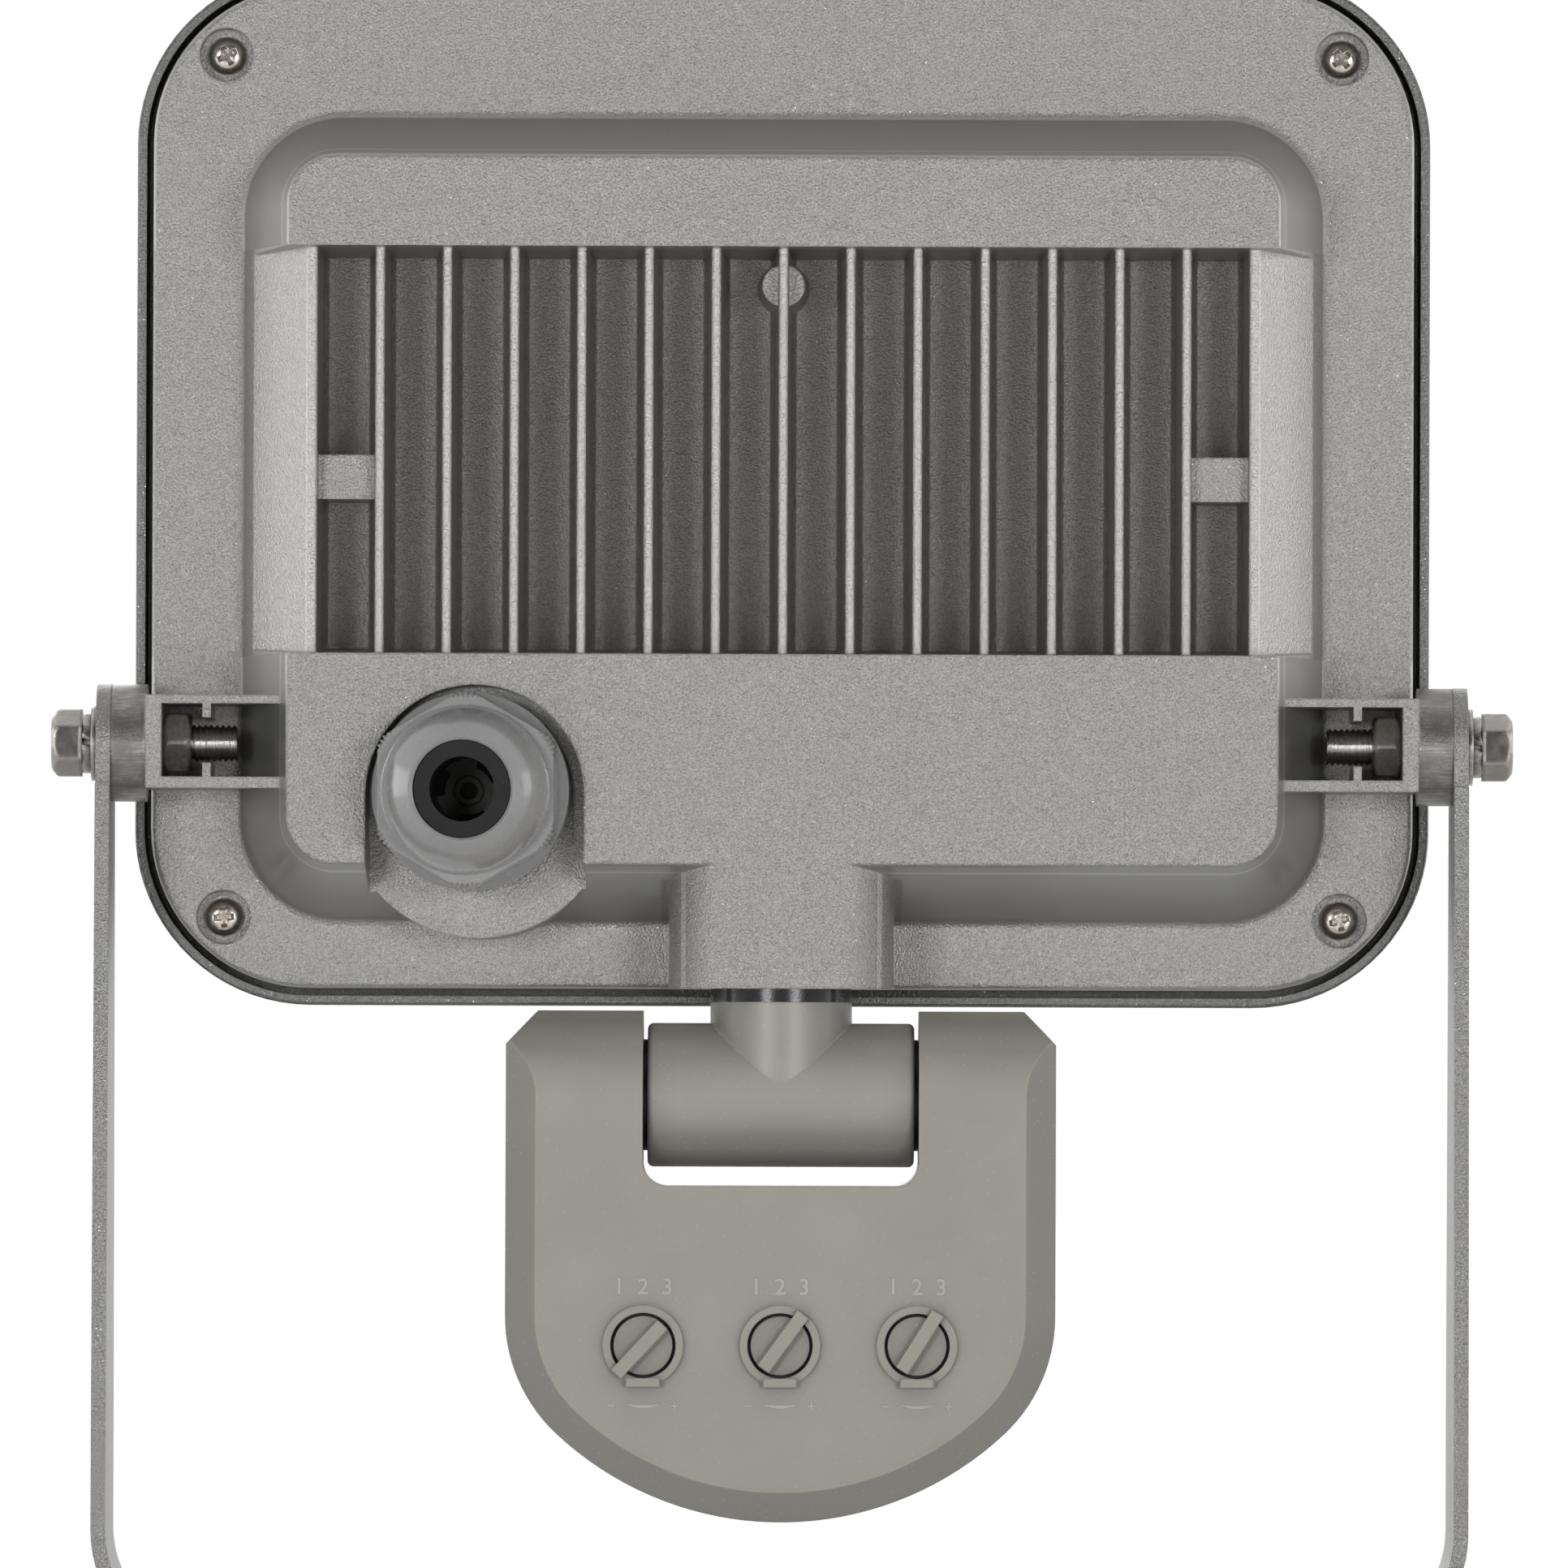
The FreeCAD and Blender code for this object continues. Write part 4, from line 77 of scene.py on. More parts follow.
def setLamps(lamps):
    for name, values in lamps.items():
        data = bpy.data.lights.new(name.replace(" ", "_"), "AREA")
        data.shape = "RECTANGLE"
        data.size = values["size"][0] * mm
        data.size_y = values["size"][1] * mm
        data.energy = values["watts"]
        lamp = bpy.data.objects.new(data.name, data)
        lamp.matrix_world = aimed(values)
        bpy.context.collection.objects.link(lamp)


# small helpers for node trees

def fill(tree, sockets, values):
    # a socket is linked, anything else is set as its value
    for key, value in dict(values).items():
        if isinstance(value, bpy.types.NodeSocket):
            tree.links.new(value, sockets[key])
        else:
            sockets[key].default_value = value


def addNode(tree, kind, inputs=(), **settings):
    made = tree.nodes.new("ShaderNode" + kind)
    for key, value in settings.items():
        setattr(made, key, value)
    fill(tree, made.inputs, inputs)
    return made


def useGroup(tree, group, inputs):
    made = tree.nodes.new("ShaderNodeGroup")
    made.node_tree = group
    fill(tree, made.inputs, inputs)
    return made.outputs


def maths(tree, operation, a, b=0.0, c=0.0):
    return addNode(tree, "Math", {0: a, 1: b, 2: c}, operation=operation).outputs[0]


def times(tree, a, b):
    return maths(tree, "MULTIPLY", a, b)


def without(tree, mask, other):
    return times(tree, mask, maths(tree, "SUBTRACT", 1.0, other))


def calmer(tree, height, mask, share):
    # the height, lessened by a share where the mask is
    return times(tree, height, maths(tree, "MULTIPLY_ADD", mask, -share, 1.0))


def ramp(tree, value, low, high, start=0.0, end=1.0):
    return addNode(tree, "MapRange", {"Value": value, "From Min": low, "From Max": high,
                                      "To Min": start, "To Max": end}).outputs["Result"]


def noise(tree, vector, scale, detail, **inputs):
    return addNode(tree, "TexNoise", {"Vector": vector, "Scale": scale, "Detail": detail,
                                      **inputs}).outputs["Fac"]


def blendColours(tree, factor, first, second):
    return addNode(tree, "Mix", {0: factor, 6: first, 7: second}, data_type="RGBA").outputs[2]


def tinted(tree, base, mask, share, colour):
    # the colour over the base where the mask is, up to the given share
    return blendColours(tree, times(tree, mask, share), base, colour)


def axes(tree, vector):
    return addNode(tree, "SeparateXYZ", {0: vector}).outputs


def setWorld(values):
    # white behind the part and dim behind the camera, so bright metal reads as metal
    world = bpy.data.worlds.new("studio")
    bpy.context.scene.world = world
    world.use_nodes = True
    tree = world.node_tree
    tree.nodes.clear()
    way = axes(tree, addNode(tree, "TexCoord").outputs["Generated"])["Y"]
    shade = ramp(tree, way, values["from"], values["to"], 1.0, values["darkSide"])
    path = addNode(tree, "LightPath").outputs
    seen = maths(tree, "MAXIMUM", path["Is Camera Ray"], path["Is Transmission Ray"])
    glossy = addNode(tree, "Mix", {0: path["Is Glossy Ray"], 2: values["ambient"], 3: shade}).outputs[0]
    strength = addNode(tree, "Mix", {0: seen, 2: glossy, 3: 1.0}).outputs[0]
    back = addNode(tree, "Background", {"Color": (1, 1, 1, 1), "Strength": strength})
    addNode(tree, "OutputWorld", {"Surface": back.outputs[0]})


def layFloor(values):
    # pale near the part, where the shadow falls, and as white as the backdrop further out
    bm = bmesh.new()
    bmesh.ops.create_circle(bm, cap_ends=True, segments=values["sides"], radius=values["radius"] * mm)
    bmesh.ops.translate(bm, verts=bm.verts, vec=(0, 0, -values["drop"] * mm))
    mesh = bpy.data.meshes.new("floor")
    bm.to_mesh(mesh)
    bm.free()
    floor = bpy.data.objects.new("floor", mesh)
    bpy.context.collection.objects.link(floor)
    paint = bpy.data.materials.new("floorPaint")
    paint.use_nodes = True
    tree = paint.node_tree
    tree.nodes.clear()
    spot = addNode(tree, "TexCoord").outputs["Object"]
    away = addNode(tree, "VectorMath", {0: spot}, operation="LENGTH").outputs["Value"]
    fade = ramp(tree, away, values["fadeFrom"] * mm, values["fadeTo"] * mm, values["least"])
    path = addNode(tree, "LightPath").outputs
    seen = maths(tree, "MAXIMUM", path["Is Camera Ray"], path["Is Glossy Ray"])
    seen = maths(tree, "MAXIMUM", seen, path["Is Transmission Ray"])
    tone = blendColours(tree, noise(tree, spot, values["mottle"], 3), values["dark"], values["pale"])
    matt = addNode(tree, "BsdfDiffuse", {"Color": tone}).outputs[0]
    white = addNode(tree, "Emission", {"Color": (1, 1, 1, 1), "Strength": 1.0}).outputs[0]
    mixed = addNode(tree, "MixShader", {0: times(tree, fade, seen), 1: matt, 2: white})
    addNode(tree, "OutputMaterial", {"Surface": mixed.outputs[0]})
    mesh.materials.append(paint)


setCamera(cameraValues)
setLamps(lampValues)
setWorld(worldValues)
layFloor(floorValues)
bpy.context.scene.view_settings.view_transform = "Standard"

print("finishes")
# ranges are (from, to) pairs of the value that a mask is made of
grainValues = {"roughness": 0.6, "specks": 1.7, "cells": 1.1, "lucky": (0.90, 0.97), "core": (0.35, 0.2),
               "dimple": -0.24, "tone": (0.3, 0.7)}
patchValues = {"roughness": 0.55, "tone": (0.3, 0.7), "fine": 9, "fineRoughness": 0.7, "twist": 0.6,
               "scuff": (0.58, 0.72)}
brushedValues = {"scale": 4000.0, "tone": (0.35, 0.65)}
rubValues = {"from": 0.02, "to": 0.12, "scale": 900, "breakUp": (0.3, 0.6), "least": 0.55}


def newGroup(name, inputs, outputs):
    tree = bpy.data.node_groups.new(name, "ShaderNodeTree")
    for socket, kind, value in inputs:
        item = tree.interface.new_socket(socket, in_out="INPUT", socket_type="NodeSocket" + kind)
        if value is not None:
            item.default_value = value
    for socket in outputs:
        tree.interface.new_socket(socket, in_out="OUTPUT", socket_type="NodeSocketFloat")
    return tree, tree.nodes.new("NodeGroupInput").outputs, tree.nodes.new("NodeGroupOutput").inputs


def buildGrain(values):
    # powder coat: lumps of the coat, their light and dark side, and bright flakes
    tree, given, out = newGroup("grain", [("Vector", "Vector", None), ("Size", "Float", 0.4)],
                                ["Height", "Tone", "Flake"])
    spot = given["Vector"]
    scale = maths(tree, "DIVIDE", 1 / mm, given["Size"])
    lumps = noise(tree, spot, scale, 2, Roughness=values["roughness"])
    specks = noise(tree, spot, times(tree, scale, values["specks"]), 1, Roughness=0.5)
    cells = addNode(tree, "TexVoronoi", {"Vector": spot, "Scale": times(tree, scale, values["cells"])})
    tint = addNode(tree, "SeparateColor", {0: cells.outputs["Color"]}).outputs[0]
    middle = ramp(tree, cells.outputs["Distance"], *values["core"])
    height = maths(tree, "MULTIPLY_ADD", cells.outputs["Distance"], values["dimple"], lumps)
    fill(tree, out, {"Height": height, "Tone": ramp(tree, specks, *values["tone"]),
                     "Flake": times(tree, ramp(tree, tint, *values["lucky"]), middle)})
    return tree


def buildPatches(values):
    # slow changes of tone over a surface, and fine scuffs
    tree, given, out = newGroup("patches", [("Vector", "Vector", None), ("Size", "Float", 20.0)],
                                ["Tone", "Scuff"])
    spot = given["Vector"]
    scale = maths(tree, "DIVIDE", 1 / mm, given["Size"])
    slow = noise(tree, spot, scale, 3, Roughness=values["roughness"])
    fine = noise(tree, spot, times(tree, scale, values["fine"]), 4, Roughness=values["fineRoughness"],
                 Distortion=values["twist"])
    fill(tree, out, {"Tone": ramp(tree, slow, *values["tone"]),
                     "Scuff": ramp(tree, fine, *values["scuff"])})
    return tree


def buildBrushed(values):
    # fine lines left by turning or drawing, squeezed along one axis
    tree, given, out = newGroup("brushed", [("Vector", "Vector", None), ("Stretch", "Vector", (1, 1, 1)),
                                            ("Scale", "Float", values["scale"])], ["Height", "Tone"])
    pulled = addNode(tree, "VectorMath", {0: given["Vector"], 1: given["Stretch"]}, operation="MULTIPLY")
    lines = noise(tree, pulled.outputs[0], given["Scale"], 2)
    fill(tree, out, {"Height": lines, "Tone": ramp(tree, lines, *values["tone"])})
    return tree


def buildRub(values):
    # edges that handling has rubbed, broken up by noise
    tree, given, out = newGroup("rub", [("Vector", "Vector", None), ("Edge", "Float", 0.0),
                                        ("From", "Float", values["from"]),
                                        ("To", "Float", values["to"])], ["Mask"])
    edge = ramp(tree, given["Edge"], given["From"], given["To"])
    broken = noise(tree, given["Vector"], values["scale"], 2)
    fill(tree, out, {"Mask": times(tree, edge, ramp(tree, broken, *values["breakUp"], values["least"]))})
    return tree


grain, patches = buildGrain(grainValues), buildPatches(patchValues)
brushed, rub = buildBrushed(brushedValues), buildRub(rubValues)


def tones(colour, spread):
    low = tuple(max(0.0, part * (1 - spread)) for part in colour) + (1,)
    high = tuple(min(1.0, part * (1 + spread)) for part in colour) + (1,)
    return low, high


def startFinish(name, sockets=()):
    material = bpy.data.materials.new(name)
    material.use_nodes = True
    tree = material.node_tree
    tree.nodes.clear()
    shader = addNode(tree, "BsdfPrincipled", sockets)
    addNode(tree, "OutputMaterial", {"Surface": shader.outputs[0]})
    return material, tree, shader.inputs, addNode(tree, "TexCoord").outputs["Object"]


def endFinish(tree, shader, base, gloss, height, relief, rounded=None):
    bump = {"Height": height, "Strength": 1.0, "Distance": relief * mm}
    if rounded is not None:
        bump["Normal"] = rounded
    fill(tree, shader, {"Base Color": base, "Roughness": gloss,
                        "Normal": addNode(tree, "Bump", bump).outputs[0]})


def softEdges(tree, radius):
    # the rounded normal near an edge, and how far it leans from the flat one
    rounded = addNode(tree, "Bevel", {"Radius": radius * mm}, samples=4).outputs[0]
    flat = addNode(tree, "NewGeometry").outputs["Normal"]
    same = addNode(tree, "VectorMath", {0: rounded, 1: flat}, operation="DOT_PRODUCT").outputs["Value"]
    return rounded, maths(tree, "SUBTRACT", 1.0, same)


def slanted(tree, steep, shallow):
    # faces that neither look straight back nor stand square to it
    facing = axes(tree, addNode(tree, "TexCoord").outputs["Normal"])["Y"]
    return times(tree, ramp(tree, facing, *steep), ramp(tree, facing, *shallow))


coatValues = {"size": 0.34, "relief": 0.165, "spread": 0.26, "roughness": 0.34, "metallic": 0.6, "edge": 0.5,
              "flakes": (0.9, 0.89, 0.86, 1), "patches": 38, "patchShare": 0.10, "patchLift": 0.25,
              "worn": (0.75, 0.74, 0.72, 1), "wornShare": 0.3, "uneven": 0.12, "glint": 0.18}
castingMarks = {
    "bayMiddle": 164.4, "bayHalf": 27.9, "spoutTop": 106.0, "spoutHalf": 16.5,
    # the slope colour is painted shading of the slanted faces
    "slope": (0.47, 0.468, 0.438, 1), "slopeShare": 0.85, "steep": (0.92, 0.50), "shallow": (0.10, 0.22),
    "rampMiddle": 68.6, "rampHalf": 4.1, "rampShare": 0.42,
    # the tip colour is a painted highlight, on the fins' outer edges and the ramps beside them
    "tip": (0.66, 0.65, 0.63, 1), "tipLevel": 8.9, "tipReach": 0.35, "tipShare": 0.75,
    "lug": (0.50, 0.49, 0.47, 1), "lugDark": (0.22, 0.215, 0.205, 1), "lugFrom": 86.8, "lugFade": 0.4,
    "lugCalm": 0.8, "lugShare": 0.85, "lugStretch": (0.5, 6, 6), "lugLines": 700, "lugPatches": 260,
    "lugRoughness": 0.65, "lugBreak": (0.4, 0.65),
}


def markCasting(tree, spot, base, height, glint, marks):
    # what the rear housing has beside its plain coat
    side = axes(tree, spot)
    across = maths(tree, "ABSOLUTE", side["X"])
    inBay = maths(tree, "COMPARE", side["Z"], marks["bayMiddle"] * mm, marks["bayHalf"] * mm)
    atSpout = times(tree, maths(tree, "LESS_THAN", side["Z"], marks["spoutTop"] * mm),
                    maths(tree, "COMPARE", side["X"], 0.0, marks["spoutHalf"] * mm))
    # slanted faces are smooth, and their colour is set by which way they face: painted shading; but not those
    # of the fins and the spout
    slant = without(tree, slanted(tree, marks["steep"], marks["shallow"]), inBay)
    slant = without(tree, slant, atSpout)
    glint = without(tree, glint, slant)
    base = tinted(tree, base, slant, marks["slopeShare"], marks["slope"])
    height = calmer(tree, height, slant, marks["slopeShare"])
    # painted highlights: the two ramps beside the fins and the fins' outer edges are made the lightest in
    # colour
    rampHighlight = times(tree, inBay, maths(tree, "COMPARE", across, marks["rampMiddle"] * mm,
                                      marks["rampHalf"] * mm))
    base = tinted(tree, base, rampHighlight, marks["rampShare"], marks["tip"])
    tipHighlight = maths(tree, "COMPARE", side["Y"], marks["tipLevel"] * mm, marks["tipReach"] * mm)
    base = tinted(tree, base, tipHighlight, marks["tipShare"], marks["tip"])
    # the pivot lugs are machined after coating
    bare = ramp(tree, across, marks["lugFrom"] * mm, (marks["lugFrom"] + marks["lugFade"]) * mm)
    height = calmer(tree, height, bare, marks["lugCalm"])
    turned = useGroup(tree, brushed, {"Vector": spot, "Stretch": marks["lugStretch"],
                                      "Scale": marks["lugLines"]})
    patch = noise(tree, spot, marks["lugPatches"], 4, Roughness=marks["lugRoughness"])
    streak = times(tree, turned["Tone"], ramp(tree, patch, *marks["lugBreak"]))
    machined = blendColours(tree, streak, marks["lugDark"], marks["lug"])
    return tinted(tree, base, bare, marks["lugShare"], machined), height, glint


def powderCoat(name, colour, marks=None, **changes):
    # a grainy coat with bright flakes, a little worn at its edges
    values = {**coatValues, **changes}
    material, tree, shader, spot = startFinish(name, {"Metallic": values["metallic"]})
    rounded, lean = softEdges(tree, values["edge"])
    coat = useGroup(tree, grain, {"Vector": spot, "Size": values["size"]})
    slow = useGroup(tree, patches, {"Vector": spot, "Size": values["patches"]})
    worn = useGroup(tree, rub, {"Vector": spot, "Edge": lean})
    base = blendColours(tree, coat["Tone"], *tones(colour, values["spread"]))
    base = tinted(tree, base, slow["Tone"], values["patchShare"], tones(colour, values["patchLift"])[1])
    base = blendColours(tree, coat["Flake"], base, values["flakes"])
    base = tinted(tree, base, worn["Mask"], values["wornShare"], values["worn"])
    height, glint = coat["Height"], coat["Flake"]
    if marks:
        base, height, glint = markCasting(tree, spot, base, height, glint, marks)
    gloss = maths(tree, "MULTIPLY_ADD", coat["Tone"], values["uneven"],
                  values["roughness"] - values["uneven"] / 2)
    gloss = maths(tree, "SUBTRACT", gloss, times(tree, glint, values["glint"]))
    endFinish(tree, shader, base, gloss, height, values["relief"], rounded)
    return material


mouldedValues = {"roughness": 0.4, "relief": 0.012, "size": 0.9, "spread": 0.05, "edge": 0.3, "dust": 0.0,
                 "rubbed": 0.25, "patches": 14, "scuffed": 0.12, "mottled": 0.06, "lighter": 1.35,
                 "lift": 0.03, "greyer": (0.60, 0.625, 0.655), "steep": (0.97, 0.84), "shallow": (0.2, 0.5),
                 "slantShare": 0.62, "creviceReach": 5.0, "crevice": (0.99, 0.72), "speckShare": 0.4}


def moulded(name, colour, sockets=(), **changes):
    # moulded plastic: slight mottling, a faint texture and a few scuffs
    values = {**mouldedValues, **changes}
    material, tree, shader, spot = startFinish(name, sockets)
    rounded, lean = softEdges(tree, values["edge"])
    slow = useGroup(tree, patches, {"Vector": spot, "Size": values["patches"]})
    skin = useGroup(tree, grain, {"Vector": spot, "Size": values["size"]})
    worn = useGroup(tree, rub, {"Vector": spot, "Edge": lean})
    lighter = tuple(min(1.0, part * values["lighter"] + values["lift"]) for part in colour) + (1,)
    base = blendColours(tree, slow["Tone"], *tones(colour, values["spread"]))
    if values["dust"]:
        # painted shade: greyer on slanted faces and near creases, where the ambient occlusion is; with a few
        # pale specks
        greyer = tuple(part * share for part, share in zip(colour, values["greyer"])) + (1,)
        slant = slanted(tree, values["steep"], values["shallow"])
        near = addNode(tree, "AmbientOcclusion", {"Distance": values["creviceReach"] * mm}, samples=3)
        occluded = ramp(tree, near.outputs["AO"], *values["crevice"])
        base = tinted(tree, base, slant, values["slantShare"], greyer)
        base = tinted(tree, base, occluded, values["dust"], greyer)
        base = tinted(tree, base, skin["Flake"], values["speckShare"], lighter)
    base = tinted(tree, base, worn["Mask"], values["rubbed"], lighter)
    gloss = maths(tree, "MULTIPLY_ADD", slow["Scuff"], values["scuffed"], values["roughness"])
    gloss = maths(tree, "MULTIPLY_ADD", skin["Tone"], values["mottled"], gloss)
    endFinish(tree, shader, base, gloss, skin["Height"], values["relief"], rounded)
    return material


metalValues = {"roughness": 0.24, "stretch": (1, 1, 1), "relief": 0.006, "scale": 3000.0, "spread": 0.2,
               "edge": 0.2, "patches": 4, "uneven": 0.12, "worn": (0.80, 0.79, 0.77, 1), "wornShare": 0.5}


def brightMetal(name, colour, **changes):
    # plated metal with fine lines, brighter along its edges
    values = {**metalValues, **changes}
    material, tree, shader, spot = startFinish(name, {"Metallic": 1.0})
    rounded, lean = softEdges(tree, values["edge"])
    lines = useGroup(tree, brushed, {"Vector": spot, "Stretch": values["stretch"],
                                     "Scale": values["scale"]})
    slow = useGroup(tree, patches, {"Vector": spot, "Size": values["patches"]})
    worn = useGroup(tree, rub, {"Vector": spot, "Edge": lean})
    base = blendColours(tree, times(tree, slow["Tone"], lines["Tone"]), *tones(colour, values["spread"]))
    base = tinted(tree, base, worn["Mask"], values["wornShare"], values["worn"])
    gloss = maths(tree, "MULTIPLY_ADD", slow["Tone"], values["uneven"],
                  values["roughness"] - values["uneven"] / 2)
    endFinish(tree, shader, base, gloss, lines["Height"], values["relief"], rounded)
    return material


rubberValues = {"roughness": 0.46, "shine": 0.3, "relief": 0.01, "size": 0.3, "spread": 0.3, "patches": 6,
                "scuff": (0.16, 0.16, 0.17, 1), "scuffShare": 0.12, "uneven": 0.16}


def rubber(name, colour, **changes):
    values = {**rubberValues, **changes}
    material, tree, shader, spot = startFinish(name, {"Specular IOR Level": values["shine"]})
    slow = useGroup(tree, patches, {"Vector": spot, "Size": values["patches"]})
    skin = useGroup(tree, grain, {"Vector": spot, "Size": values["size"]})
    base = blendColours(tree, slow["Tone"], *tones(colour, values["spread"]))
    base = tinted(tree, base, slow["Scuff"], values["scuffShare"], values["scuff"])
    gloss = maths(tree, "MULTIPLY_ADD", skin["Tone"], values["uneven"],
                  values["roughness"] - values["uneven"] / 2)
    endFinish(tree, shader, base, gloss, skin["Height"], values["relief"])
    return material


glassValues = {"smears": 30, "dark": (0.93, 0.97, 0.95, 1), "pale": (0.97, 0.99, 0.98, 1),
               "roughness": 0.02, "scuffed": 0.03, "bending": 1.5}


def clearGlass(name, values):
    material, tree, shader, spot = startFinish(name, {"Transmission Weight": 1.0, "IOR": values["bending"]})
    smear = useGroup(tree, patches, {"Vector": spot, "Size": values["smears"]})
    base = blendColours(tree, smear["Tone"], values["dark"], values["pale"])
    gloss = maths(tree, "MULTIPLY_ADD", smear["Scuff"], values["scuffed"], values["roughness"])
    fill(tree, shader, {"Base Color": base, "Roughness": gloss})
    return material


milkyValues = {"milk": 0.25, "depth": 4, "gloss": 0.2, "patches": 12, "size": 0.5, "roughness": 0.3,
               "uneven": 0.1, "relief": 0.008, "dark": (0.72, 0.73, 0.71, 1), "pale": (0.80, 0.81, 0.79, 1)}


def milkyLens(name, values):
    material, tree, shader, spot = startFinish(name, {
        "Subsurface Weight": values["milk"], "Subsurface Scale": values["depth"] * mm,
        "Coat Weight": values["gloss"]})
    slow = useGroup(tree, patches, {"Vector": spot, "Size": values["patches"]})
    skin = useGroup(tree, grain, {"Vector": spot, "Size": values["size"]})
    base = blendColours(tree, slow["Tone"], values["dark"], values["pale"])
    gloss = maths(tree, "MULTIPLY_ADD", skin["Tone"], values["uneven"], values["roughness"])
    endFinish(tree, shader, base, gloss, skin["Height"], values["relief"])
    return material


finish = {
    "housing": powderCoat("housingCoat", (0.385, 0.378, 0.364), castingMarks),
    # the bezel's coat is darker than the housing's: painted shade on its rim
    "bezel": powderCoat("bezelCoat", (0.185, 0.185, 0.178), relief=0.08, edge=0.2),
    "bracket": powderCoat("bracketCoat", (0.33, 0.325, 0.314), edge=0.25),
    # the sensor and the knobs take painted shade on their slanted faces and in their creases
    "sensor": moulded("sensorPlastic", (0.61, 0.582, 0.511), roughness=0.33, relief=0.016, size=0.5,
                      edge=0.45, dust=0.9, rubbed=0.6),
    # the raised marks are lighter than the plastic they are moulded in: painted highlight
    "mark": moulded("raisedMarks", (0.80, 0.77, 0.69), roughness=0.34, relief=0.01, size=0.5, edge=0.1),
    "knob": moulded("knobPlastic", (0.58, 0.56, 0.49), roughness=0.36, relief=0.01, size=0.6, dust=0.5,
                    rubbed=0.6),
    "gland": moulded("glandPlastic", (0.50, 0.494, 0.494), {"Coat Weight": 0.8, "Coat Roughness": 0.12},
                     roughness=0.22, relief=0.003, size=1.2, spread=0.02, rubbed=0.06),
    "zinc": brightMetal("zincSteel", (0.36, 0.34, 0.315), roughness=0.17, stretch=(0.5, 5, 0.5),
                        scale=1600.0, relief=0.004, spread=0.25, edge=0.8),
    # the nuts in their pockets are lighter than the bolts' zinc: a warmer tone of their own, and painted
    # light against the pockets' shade
    "nut": brightMetal("nutSteel", (0.62, 0.585, 0.54), roughness=0.18, scale=1600.0, relief=0.004,
                       edge=0.7),
    "screw": brightMetal("screwSteel", (0.62, 0.575, 0.52), roughness=0.22, scale=1500.0),
    "rubber": rubber("blackRubber", (0.010, 0.010, 0.011)),
    "wetRubber": rubber("stemRubber", (0.006, 0.006, 0.0065), roughness=0.22, shine=0.6),
    "gasket": rubber("gasketRubber", (0.03, 0.03, 0.03), roughness=0.55),
    "blackPlastic": moulded("blackPlastic", (0.02, 0.022, 0.02), spread=0.2),
    "dustDisc": moulded("dustDiscPlastic", (0.022, 0.026, 0.016), roughness=0.5, spread=0.25),
    "whitePlastic": moulded("whitePlastic", (0.78, 0.78, 0.76), roughness=0.3, spread=0.03),
    "board": moulded("whiteBoard", (0.80, 0.80, 0.78), roughness=0.35, relief=0.004, spread=0.03),
    "greenBoard": moulded("greenBoard", (0.03, 0.16, 0.07), roughness=0.35, relief=0.01, spread=0.15),
    "tape": moulded("yellowTape", (0.62, 0.45, 0.08), roughness=0.45, spread=0.08),
    "phosphor": moulded("phosphor", (0.80, 0.62, 0.10), roughness=0.35, relief=0.01, size=0.2,
                        spread=0.08),
    "copper": brightMetal("copperWire", (0.75, 0.36, 0.20), roughness=0.3, stretch=(1, 12, 1)),
    "glass": clearGlass("clearGlass", glassValues),
    "lens": milkyLens("milkyLens", milkyValues),
    "cell": moulded("photocellFace", (0.35, 0.08, 0.04), roughness=0.3, spread=0.3),
}

print("screws, bolts and washers")


def addPiece(bm, name, body, materials, replaced=(), sharp=32):
    # edges that turn by less than the sharp angle are shaded smooth
    limit = math.radians(sharp)
    for edge in bm.edges:
        edge.smooth = edge.calc_face_angle(0.0) < limit
    for face in bm.faces:
        face.smooth = True
    mesh = bpy.data.meshes.new(name)
    bm.to_mesh(mesh)
    bm.free()
    for material in materials:
        mesh.materials.append(material)
    piece = bpy.data.objects.new(name, mesh)
    bpy.context.collection.objects.link(piece)
    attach(piece, body)
    if replaced:
        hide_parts(*replaced)
    return piece


def outline(bm, points, closed=False):
    # a line of (radius, height) points, ready to be spun
    corners = [bm.verts.new((radius * mm, 0, height * mm)) for radius, height in points]
    before = corners[-1:] + corners if closed else corners
    edges = [bm.edges.new(pair) for pair in zip(before, corners if closed else corners[1:])]
    return corners + edges


def spin(bm, line, angle, steps, **settings):
    bmesh.ops.spin(bm, geom=line, cent=(0, 0, 0), axis=(0, 0, 1), angle=angle, steps=steps, **settings)


def closeEnds(bm):
    bmesh.ops.edgeloop_fill(bm, edges=[edge for edge in bm.edges if edge.is_boundary])
    bmesh.ops.recalc_face_normals(bm, faces=bm.faces)


def turnedShape(points, steps=48, closed=False):
    # a full turn about the upright axis
    bm = bmesh.new()
    spin(bm, outline(bm, points, closed), math.tau, steps, use_merge=True)
    bmesh.ops.remove_doubles(bm, verts=bm.verts, dist=0.002 * mm)
    bmesh.ops.recalc_face_normals(bm, faces=bm.faces)
    return bm


def block(bm, size, place=(0, 0, 0)):
    made = bmesh.ops.create_cube(bm, size=1.0)["verts"]
    bmesh.ops.scale(bm, verts=made, vec=Vector(size) * mm)
    bmesh.ops.translate(bm, verts=made, vec=Vector(place) * mm)
    return made


